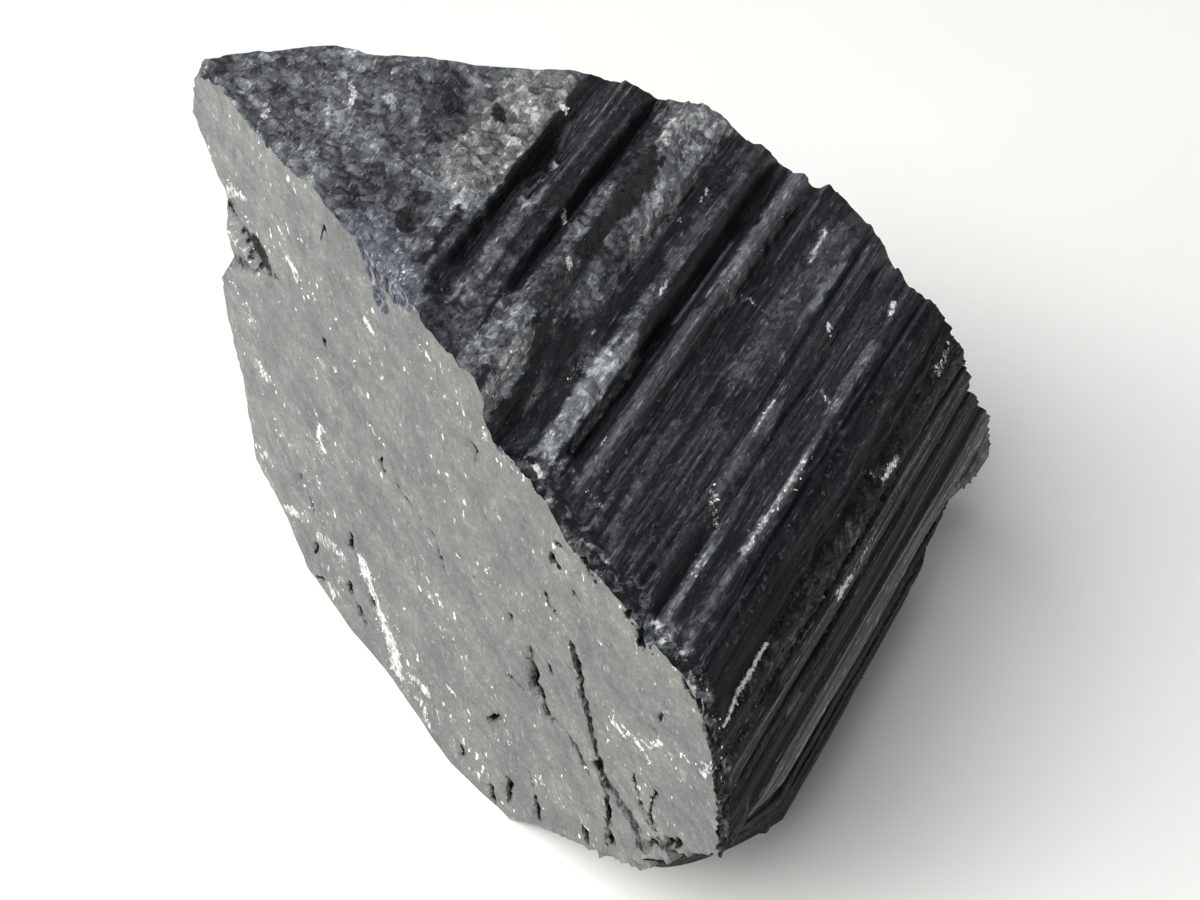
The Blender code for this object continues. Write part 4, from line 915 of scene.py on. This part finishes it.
def buildChunk():
    place, sides = buildSides()
    count, rows = len(place), chunk["rows"]
    print("chunk: sides", count, "strips by", rows, "rows")
    number = np.arange(count * (rows + 1)).reshape(count, rows + 1)
    following = np.roll(number, -1, axis=0)
    quads = np.stack((number[:, :-1], following[:, :-1], following[:, 1:], number[:, 1:]), axis=-1)
    vertices, faces, total = [sides.reshape(-1, 3)], quads.reshape(-1, 4).tolist(), number.size
    slots = np.where(onFaces(np.repeat(place, rows))[0], ridgedSlot, sideSlot).tolist()
    numbers = {}
    for slot, row, surface, pitch, cracks in (
        (sawnSlot, 0, nearY, chunk["sawnPitch"], marks["cracks"]),
        (brokenSlot, rows, farY, chunk["farPitch"], []),
    ):
        inner, triangles = fillCap(sides[:, row], surface, pitch, cracks)
        numbers[slot] = np.concatenate((number[:, row], total + np.arange(len(inner))))
        faces.extend(numbers[slot][triangles].tolist())
        slots.extend([slot] * len(triangles))
        vertices.append(inner)
        total += len(inner)
        print("chunk: the end with material", slot, "has", len(triangles), "triangles")
    vertices = np.concatenate(vertices)
    names = ("tone", "crumb", "crush", "hue", "edge", "loose", "crack", "stain", "bitten")
    painted = {name: np.zeros(total) for name in names}
    paintSides(painted, place, sides)
    paintSawnFace(painted, numbers[sawnSlot], *vertices[numbers[sawnSlot]][:, [0, 2]].T)
    thing = toObject("schorlChunk", ((vertices + np.array(chunk["shift"])) * metres).tolist(), faces)
    thing.data.polygons.foreach_set("material_index", slots)
    for name, values in painted.items():
        attribute = thing.data.attributes.new(name, "FLOAT", "POINT")
        attribute.data.foreach_set("value", values.astype(np.float32))
    finishMesh(thing.data)
    return thing


# Materials

schorlIndex = 1.63  # how strongly schorl bends light


def linearColour(code):
    # an sRGB hex colour as linear red, green, blue and alpha
    channels = [int(code[place:place + 2], 16) / 255.0 for place in (1, 3, 5)]
    linear = [c / 12.92 if c <= 0.04045 else ((c + 0.055) / 1.055) ** 2.4 for c in channels]
    return (*linear, 1.0)


def addNode(tree, kind, settings=None, links=None):
    # one node: settings by attribute or input, "stops" for a ramp, and links by input
    node = tree.nodes.new(kind)
    for name, value in (settings or {}).items():
        if name == "stops":
            ramp = node.color_ramp
            while len(ramp.elements) < len(value):
                ramp.elements.new(0.5)
            for element, (position, colour) in zip(ramp.elements, value):
                element.position, element.color = position, linearColour(colour)
        elif isinstance(name, str) and hasattr(node, name):
            setattr(node, name, value)
        else:
            node.inputs[name].default_value = value
    for name, socket in (links or {}).items():
        tree.links.new(socket, node.inputs[name])
    return node


def startMaterial(name, marksRead=()):
    # an empty material, the place on the object, and the skin's painted marks by name
    material = bpy.data.materials.new(name)
    material.use_nodes = True
    tree = material.node_tree
    tree.nodes.clear()
    place = addNode(tree, "ShaderNodeTexCoord").outputs["Object"]
    mark = {read: addNode(tree, "ShaderNodeAttribute", {"attribute_name": read}).outputs["Fac"]
            for read in marksRead}
    return material, tree, place, mark


def finishMaterial(tree, colour, roughness, height, distance, specular=0.5):
    bump = addNode(tree, "ShaderNodeBump", {"Distance": distance * metres}, {"Height": height})
    shader = addNode(tree, "ShaderNodeBsdfPrincipled", {"IOR": schorlIndex, "Specular IOR Level": specular},
                     {"Base Color": colour, "Roughness": roughness, "Normal": bump.outputs["Normal"]})
    addNode(tree, "ShaderNodeOutputMaterial", {}, {"Surface": shader.outputs["BSDF"]})


def addPattern(tree, kind, place, size, settings=None):
    # a texture whose features have this size in millimetres, or these across and along Y
    across, along = size if isinstance(size, tuple) else (size, size)
    scale = [1.0 / (length * metres) for length in (across, along, across)]
    mapping = addNode(tree, "ShaderNodeMapping", {"Scale": scale}, {"Vector": place})
    return addNode(tree, kind, {"Scale": 1.0, **(settings or {})}, {"Vector": mapping.outputs[0]}).outputs


def addUp(tree, parts, start=0.0):
    # the sum of sockets times their weights
    total = None
    for socket, weight in parts:
        first = total is None
        settings = {"operation": "MULTIPLY_ADD", 1: weight, **({2: start} if first else {})}
        links = {0: socket, **({} if first else {2: total})}
        total = addNode(tree, "ShaderNodeMath", settings, links).outputs[0]
    return total


def blend(tree, share, below, above, way="MIX"):
    # a colour laid over another; either can be a hex colour, and the share a number
    settings, links = {"data_type": "RGBA", "blend_type": way}, {}
    for socket, value in ((0, share), (6, below), (7, above)):
        if isinstance(value, str):
            settings[socket] = linearColour(value)
        elif isinstance(value, float):
            settings[socket] = value
        else:
            links[socket] = value
    return addNode(tree, "ShaderNodeMix", settings, links).outputs[2]


def layOver(tree, below, parts, start, end, above):
    # a colour laid over where the parts' sum passes from start to end; returns its share too
    share = addNode(tree, "ShaderNodeMapRange", {"From Min": start, "From Max": end},
                    {"Value": addUp(tree, parts)}).outputs[0]
    return blend(tree, share, below, above), share


def sawnSchorl():
    # Schorl cut by a diamond saw: ground to a fine powdery skin, nearly matt. Its pale grey is partly the
    # powder's own and partly painted sheen of reflected light, with brighter crushed specks and painted
    # glints, and dark open cracks.
    material, tree, place, mark = startMaterial("sawn matt schorl", ("crush", "stain", "bitten", "crack"))
    turned = addNode(tree, "ShaderNodeMapping", {"Rotation": (0.0, 0.35, 0.0), "Scale": (1.0, 1.0, 0.55)},
                     {"Vector": place}).outputs[0]
    grain, smear, cloud, speck, glintNoise, broken = (
        addPattern(tree, "ShaderNodeTexNoise", source, size, settings)["Fac"]
        for source, size, settings in (
            (place, 0.24, {"Detail": 4.0, "Roughness": 0.66}),
            (place, 0.95, {"Detail": 3.0}),
            (place, 3.6, {"Detail": 3.0}),
            (turned, 0.34, {"Detail": 2.0}),
            (turned, 0.48, {"Detail": 1.0}),
            (turned, 0.34, {"Detail": 5.0, "Roughness": 0.72, "Distortion": 0.5}),
        )
    )
    net = addPattern(tree, "ShaderNodeTexVoronoi", turned, 0.55, {"feature": "DISTANCE_TO_EDGE"})["Distance"]
    # painted sheen: the cut face is painted a little brighter toward its left end, at low x
    across = addNode(tree, "ShaderNodeSeparateXYZ", {}, {0: place}).outputs["X"]
    sheenAcross = addNode(tree, "ShaderNodeMapRange", {"From Min": -0.021, "From Max": 0.012},
                     {"Value": across}).outputs[0]
    # the grey base: partly the powder's own grey, partly painted sheen of reflected light
    base, cloudy, sheen, bitten = (
        addNode(tree, "ShaderNodeValToRGB", {"stops": stops}, {"Fac": share}).outputs["Color"]
        for share, stops in (
            (addUp(tree, [(grain, 0.55), (smear, 0.45)]),
             [(0.32, "#6c6d6b"), (0.46, "#80817f"), (0.56, "#8a8b88"), (0.70, "#aaaba7")]),
            (cloud, [(0.34, "#e2e4e8"), (0.66, "#ffffff")]),
            (sheenAcross, [(0.0, "#ffffff"), (0.45, "#f2f2f1"), (1.0, "#eeeeec")]),
            (broken, [(0.34, "#101113"), (0.44, "#3c3f44"), (0.56, "#6e7279"), (0.68, "#a2a5ab")]),
        )
    )
    colour = blend(tree, 1.0, blend(tree, 1.0, base, cloudy, "MULTIPLY"), sheen, "MULTIPLY")
    dusted = addNode(tree, "ShaderNodeMapRange", {"From Min": 0.64, "From Max": 0.74, "To Max": 0.5},
                     {"Value": speck}).outputs[0]
    colour = blend(tree, dusted, colour, "#b4b5b1")
    netted = addNode(tree, "ShaderNodeMapRange", {"From Max": 0.16, "To Min": 1.0, "To Max": 0.0},
                     {"Value": net}).outputs[0]
    shares = {}
    for name, parts, start, end, above in (
        # painted glints: near-white flecks standing in for light caught by tiny facets
        ("paintedGlints", [(speck, 0.6), (glintNoise, 0.6), (cloud, 0.5)], 1.045, 1.10, "#eeefeb"),
        # white crushed places, partly painted glints
        ("crush", [(mark["crush"], 0.44), (broken, 0.75), (netted, 0.13)], 0.70, 0.94, "#f0f1ed"),
        ("stain", [(mark["stain"], 0.62), (broken, 1.5)], 1.12, 1.46, "#0e0f11"),
        ("bitten", [(mark["bitten"], 1.0), (broken, 1.0)], 0.88, 1.02, bitten),
        ("crack", [(mark["crack"], 0.9), (broken, 1.0)], 0.78, 1.02, "#070708"),
    ):
        colour, shares[name] = layOver(tree, colour, parts, start, end, above)
    roughness = addNode(tree, "ShaderNodeMapRange", {
        "From Min": 0.3, "From Max": 0.7, "To Min": 0.66, "To Max": 0.50}, {"Value": grain}).outputs[0]
    height = addUp(tree, [(shares["crush"], 0.8), (grain, 1.0)])
    finishMaterial(tree, colour, roughness, height, 0.04, 0.06)
    return material


def prismSchorl(name, specular):
    # Natural prism faces of schorl: black and glassy along fine growth ridges, dulled where a
    # grey etched crust or a film of dust covers them.
    material, tree, place, mark = startMaterial(name, ("tone", "crumb", "crush", "hue", "edge"))
    fineStreak, streak, wideStreak, speck, sliver, crumb, clump = (
        addPattern(tree, "ShaderNodeTexNoise", place, size, {"Detail": detail, "Roughness": roughness})["Fac"]
        for size, detail, roughness in (
            ((0.12, 5.0), 2.0, 0.5), ((0.28, 9.0), 4.0, 0.72), ((0.80, 36.0), 3.0, 0.5),
            ((0.17, 0.30), 3.0, 0.7), ((0.16, 1.1), 2.0, 0.6), (0.50, 4.0, 0.62), (1.9, 2.0, 0.5),
        )
    )
    jitter = addPattern(tree, "ShaderNodeTexNoise", place, 0.55)["Color"]
    shaken = addNode(tree, "ShaderNodeVectorMath", {"operation": "MULTIPLY_ADD", 1: (0.12 * metres,) * 3},
                     {0: jitter, 2: place}).outputs[0]
    grains, grit = (addPattern(tree, "ShaderNodeTexVoronoi", shaken, size) for size in (0.66, 0.36))
    grainTone, gritTone = (addNode(tree, "ShaderNodeSeparateColor", {}, {0: cells["Color"]}).outputs[0]
                           for cells in (grains, grit))
    # streaks along the crystal, and crumbs where it is etched, both around zero
    streakPart = addUp(tree, [(fineStreak, 1.1), (streak, 1.5), (wideStreak, 0.9), (speck, 0.9)], -2.2)
    crumbPart = addUp(tree, [(grainTone, 0.50), (gritTone, 0.42), (grains["Distance"], -0.22),
                             (grit["Distance"], -0.15), (crumb, 0.6), (speck, 0.7), (clump, 0.45)], -1.195)
    pattern = addNode(tree, "ShaderNodeMix", {}, {0: mark["crumb"], 2: streakPart, 3: crumbPart}).outputs[0]
    contrast = addNode(tree, "ShaderNodeMapRange", {"To Min": 0.74, "To Max": 0.80},
                       {"Value": mark["tone"]}).outputs[0]
    value = addNode(tree, "ShaderNodeMath", {"operation": "MULTIPLY_ADD"}, {
        0: pattern, 1: addUp(tree, [(contrast, 1.0), (mark["edge"], 0.9)]), 2: mark["tone"]}).outputs[0]
    dust = addNode(tree, "ShaderNodeMapRange", {"From Min": 0.60, "From Max": 0.68, "To Max": 0.34},
                   {"Value": sliver}).outputs[0]
    paleness = addUp(tree, [(value, 0.625), (dust, 0.625)])
    hue = addNode(tree, "ShaderNodeMapRange", {"From Min": -1.0, "From Max": 1.0},
                  {"Value": mark["hue"]}).outputs[0]
    colour, tint = (
        addNode(tree, "ShaderNodeValToRGB", {"stops": stops}, {"Fac": share}).outputs["Color"]
        for share, stops in (
            (paleness, [(0.0, "#15161a"), (0.10, "#1b1c1f"), (0.28, "#323437"), (0.46, "#5a5d60"),
                        (0.62, "#7c8082"), (0.90, "#d4d6d4")]),
            (hue, [(0.0, "#e8ebf6"), (0.5, "#f9fbfd"), (1.0, "#fffbef")]),
        )
    )
    tinted = blend(tree, 1.0, colour, tint, "MULTIPLY")
    # white crushed places, partly painted glints
    crushGlintMarked, _ = layOver(tree, tinted, [(mark["crush"], 0.46), (speck, 1.0)], 0.70, 0.92, "#dfe1e3")
    glassy = addNode(tree, "ShaderNodeMapRange", {
        "From Min": 0.35, "From Max": 0.7, "To Min": 0.26, "To Max": 0.48}, {"Value": speck}).outputs[0]
    dull = addNode(tree, "ShaderNodeMapRange", {"From Min": 0.08, "From Max": 0.35},
                   {"Value": paleness}).outputs[0]
    roughness = addNode(tree, "ShaderNodeMix", {3: 0.80}, {0: dull, 2: glassy}).outputs[0]
    streakHeight = addUp(tree, [(fineStreak, 0.35), (streak, 0.55)])
    height = addNode(tree, "ShaderNodeMix", {}, {0: mark["crumb"], 2: streakHeight, 3: crumbPart}).outputs[0]
    finishMaterial(tree, crushGlintMarked, roughness, height, 0.12, specular)
    return material


def brokenSchorl():
    # A natural break across the prism: hackly, glassy black, with grey crumbs left in hollows.
    material, tree, place, _ = startMaterial("broken glassy schorl")
    crumb = addPattern(tree, "ShaderNodeTexNoise", place, 0.45, {"Detail": 5.0, "Roughness": 0.66})["Fac"]
    cloud = addPattern(tree, "ShaderNodeTexNoise", place, 3.0, {"Detail": 4.0})["Fac"]
    black, crust = (
        addNode(tree, "ShaderNodeValToRGB", {"stops": stops}, {"Fac": crumb}).outputs["Color"]
        for stops in ([(0.36, "#0e0f10"), (0.55, "#1d1e20"), (0.70, "#3c3e41")],
                      [(0.36, "#1c1d1e"), (0.52, "#4c4f52"), (0.68, "#8c8e8e")])
    )
    share = addNode(tree, "ShaderNodeMapRange", {"From Min": 0.46, "From Max": 0.66, "To Max": 0.75},
                    {"Value": cloud}).outputs[0]
    roughness = addNode(tree, "ShaderNodeMapRange", {"To Min": 0.32, "To Max": 0.75},
                        {"Value": share}).outputs[0]
    finishMaterial(tree, blend(tree, share, black, crust), roughness, crumb, 0.2, 0.4)
    return material


def crushedGlintSchorl():
    # White grains along the crushed places: tiny clear splinters full of air, so they look white; on the
    # glint marks they are painted glints.
    material, tree, place, _ = startMaterial("crushed white schorl grains and painted glints")
    tone = addPattern(tree, "ShaderNodeTexNoise", place, 0.5)["Fac"]
    colour = addNode(tree, "ShaderNodeValToRGB", {"stops": [(0.35, "#b9bbb8"), (0.58, "#f7f8f4")]},
                     {"Fac": tone}).outputs["Color"]
    roughness = addNode(tree, "ShaderNodeMapRange", {"To Min": 0.2, "To Max": 0.5},
                        {"Value": tone}).outputs[0]
    finishMaterial(tree, colour, roughness, tone, 0.02)
    return material


# Loose crumbs stuck on the etched crust, and white grains on the crushed places and painted glints:
# each is the share of the skin it follows, how many sit on a square millimetre, radii in millimetres and the
# seed.
grainKinds = {
    "etchedCrumbs": {"follow": "loose", "Density": 2.6, "Smallest": 0.06, "Largest": 0.20, "Seed": 4},
    "crushedGlintGrains": {"follow": "crush", "Density": 5.0, "Smallest": 0.03, "Largest": 0.12, "Seed": 9},
}


def addGrainNodes(tree, follow, material):
    # points on the skin, and on each a small ball squashed and turned at random
    given = addNode(tree, "NodeGroupInput").outputs
    share = addNode(tree, "GeometryNodeInputNamedAttribute", {"data_type": "FLOAT", "Name": follow})
    density = addNode(tree, "ShaderNodeMath", {"operation": "MULTIPLY"},
                      {0: given["Density"], 1: share.outputs["Attribute"]})
    points = addNode(tree, "GeometryNodeDistributePointsOnFaces", {"distribute_method": "RANDOM"}, {
        "Mesh": given["Geometry"], "Density": density.outputs[0], "Seed": given["Seed"]})
    grain = addNode(tree, "GeometryNodeMeshIcoSphere", {"Radius": 1.0, "Subdivisions": 1})
    size = addNode(tree, "FunctionNodeRandomValue", {"data_type": "FLOAT"}, {
        2: given["Smallest"], 3: given["Largest"], "Seed": given["Seed"]})
    flatness, turn = (
        addNode(tree, "FunctionNodeRandomValue", {"data_type": "FLOAT_VECTOR", 0: least, 1: most},
                {"Seed": given["Seed"]})
        for least, most in (((0.4, 0.4, 0.3), (1.5, 1.0, 0.8)), ((0.0, 0.0, 0.0), (6.28, 6.28, 6.28)))
    )
    scale = addNode(tree, "ShaderNodeVectorMath", {"operation": "SCALE"},
                    {0: flatness.outputs[0], "Scale": size.outputs[1]})
    placed = addNode(tree, "GeometryNodeInstanceOnPoints", {}, {
        "Points": points.outputs["Points"], "Instance": grain.outputs["Mesh"],
        "Rotation": turn.outputs[0], "Scale": scale.outputs[0]})
    joined = addNode(tree, "GeometryNodeRealizeInstances", {}, {"Geometry": placed.outputs[0]})
    dressed = addNode(tree, "GeometryNodeSetMaterial", {"Material": material},
                      {"Geometry": joined.outputs[0]})
    addNode(tree, "NodeGroupOutput", {}, {0: dressed.outputs[0]})


def growGrains(name, settings, material):
    # scatters small angular grains over the chunk and keeps them as one mesh object
    tree = bpy.data.node_groups.new(name + "Tree", "GeometryNodeTree")
    for way in ("INPUT", "OUTPUT"):
        tree.interface.new_socket("Geometry", in_out=way, socket_type="NodeSocketGeometry")
    inputs = {"Density": ("Float", settings["Density"] / metres ** 2),
              "Smallest": ("Float", settings["Smallest"] * metres),
              "Largest": ("Float", settings["Largest"] * metres), "Seed": ("Int", settings["Seed"])}
    sockets = {label: tree.interface.new_socket(label, in_out="INPUT", socket_type="NodeSocket" + kind)
               for label, (kind, _) in inputs.items()}
    addGrainNodes(tree, settings["follow"], material)
    thing = bpy.data.objects.new(name, chunkPiece.data.copy())
    bpy.context.scene.collection.objects.link(thing)
    modifier = thing.modifiers.new("grains", "NODES")
    modifier.node_group = tree
    for label, (_, value) in inputs.items():
        modifier[sockets[label].identifier] = value
    bpy.context.view_layer.update()
    evaluated = thing.evaluated_get(bpy.context.evaluated_depsgraph_get())
    mesh = bpy.data.meshes.new_from_object(evaluated)
    thing.modifiers.clear()
    thing.data = mesh
    mesh.shade_flat()
    print(name, len(mesh.polygons), "triangles")
    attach(thing, "root")


chunkPiece = buildChunk()
prismMaterial = prismSchorl("ridged schorl with etched crust", 0.25)
sideMaterial = prismSchorl("weathered dull schorl sides", 0.02)
for material in (sawnSchorl(), prismMaterial, brokenSchorl(), sideMaterial):
    chunkPiece.data.materials.append(material)
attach(chunkPiece, "root")
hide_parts("tourmaline_crystal")
print("chunk: done")
growGrains("etchedCrumbs", grainKinds["etchedCrumbs"], prismMaterial)
growGrains("crushedGlintGrains", grainKinds["crushedGlintGrains"], crushedGlintSchorl())


# Floor, lights and camera

stageSettings = {
    "floorSize": 3.0,
    "floorColour": "#f4f4f2",
    "floorRoughness": 0.9,
    "world": ("#ffffff", 0.75, 0.15, 0.45),  # colour, glow at the horizon and overhead, change
    "lights": [
        # name, place, width, depth, watts, colour
        ("left softbox", (-0.42, -0.38, 0.34), 0.40, 0.40, 2.4, "#fffaf4"),
        ("front softbox", (-0.08, -0.30, 0.54), 0.45, 0.35, 3.9, "#ffffff"),
        ("right glow", (0.55, -0.15, 0.30), 0.30, 0.30, 0.15, "#fff4e6"),
    ],
    "lightAim": (0.0, 0.0, 0.018),
    "cameraPlace": (0.04997, -0.08556, 0.131),
    # the camera's right, up and backward directions
    "cameraAxes": [(0.88454, 0.46646, 0.0), (-0.34862, 0.66108, 0.66441), (0.30992, -0.58770, 0.74737)],
    "lens": 78.09,
    "sensor": 36.0,
    "clipStart": 0.005,
}


def buildFloor():
    half = 0.5 * stageSettings["floorSize"]
    corners = [(-half, -half, 0), (half, -half, 0), (half, half, 0), (-half, half, 0)]
    floor = toObject("floor", corners, [(0, 1, 2, 3)])
    material = bpy.data.materials.new("matt white board")  # even and matt, so it stays plain
    material.use_nodes = True
    shader = material.node_tree.nodes["Principled BSDF"]
    shader.inputs["Base Color"].default_value = linearColour(stageSettings["floorColour"])
    shader.inputs["Roughness"].default_value = stageSettings["floorRoughness"]
    floor.data.materials.append(material)


def buildLight():
    world = bpy.data.worlds.new("studio")
    world.use_nodes = True
    colour, horizon, overhead, change = stageSettings["world"]
    tree = world.node_tree
    way = addNode(tree, "ShaderNodeTexCoord").outputs["Generated"]
    rise = addNode(tree, "ShaderNodeSeparateXYZ", {}, {0: way}).outputs["Z"]
    glow = addNode(tree, "ShaderNodeMapRange", {"From Max": change, "To Min": horizon, "To Max": overhead},
                   {"Value": rise})
    background = tree.nodes["Background"]
    background.inputs["Color"].default_value = linearColour(colour)
    tree.links.new(glow.outputs[0], background.inputs["Strength"])
    bpy.context.scene.world = world
    for name, place, width, depth, watts, colour in stageSettings["lights"]:
        light = bpy.data.lights.new(name, "AREA")
        light.shape = "RECTANGLE"
        light.size, light.size_y, light.energy = width, depth, watts
        light.color = linearColour(colour)[:3]
        lamp = bpy.data.objects.new(name, light)
        lamp.location = place
        lamp.rotation_mode = "QUATERNION"
        toAim = Vector(stageSettings["lightAim"]) - Vector(place)
        lamp.rotation_quaternion = toAim.to_track_quat("-Z", "Y")
        bpy.context.scene.collection.objects.link(lamp)


def buildCamera():
    camera = bpy.data.objects.new("camera", bpy.data.cameras.new("camera"))
    camera.data.lens = stageSettings["lens"]
    camera.data.sensor_width = stageSettings["sensor"]
    camera.data.clip_start = stageSettings["clipStart"]
    turn = Matrix(stageSettings["cameraAxes"]).transposed().to_4x4()
    camera.matrix_world = Matrix.Translation(stageSettings["cameraPlace"]) @ turn
    bpy.context.scene.collection.objects.link(camera)
    bpy.context.scene.camera = camera


buildFloor()
buildLight()
buildCamera()
bpy.context.scene.view_settings.view_transform = "Standard"
print("stage: done")
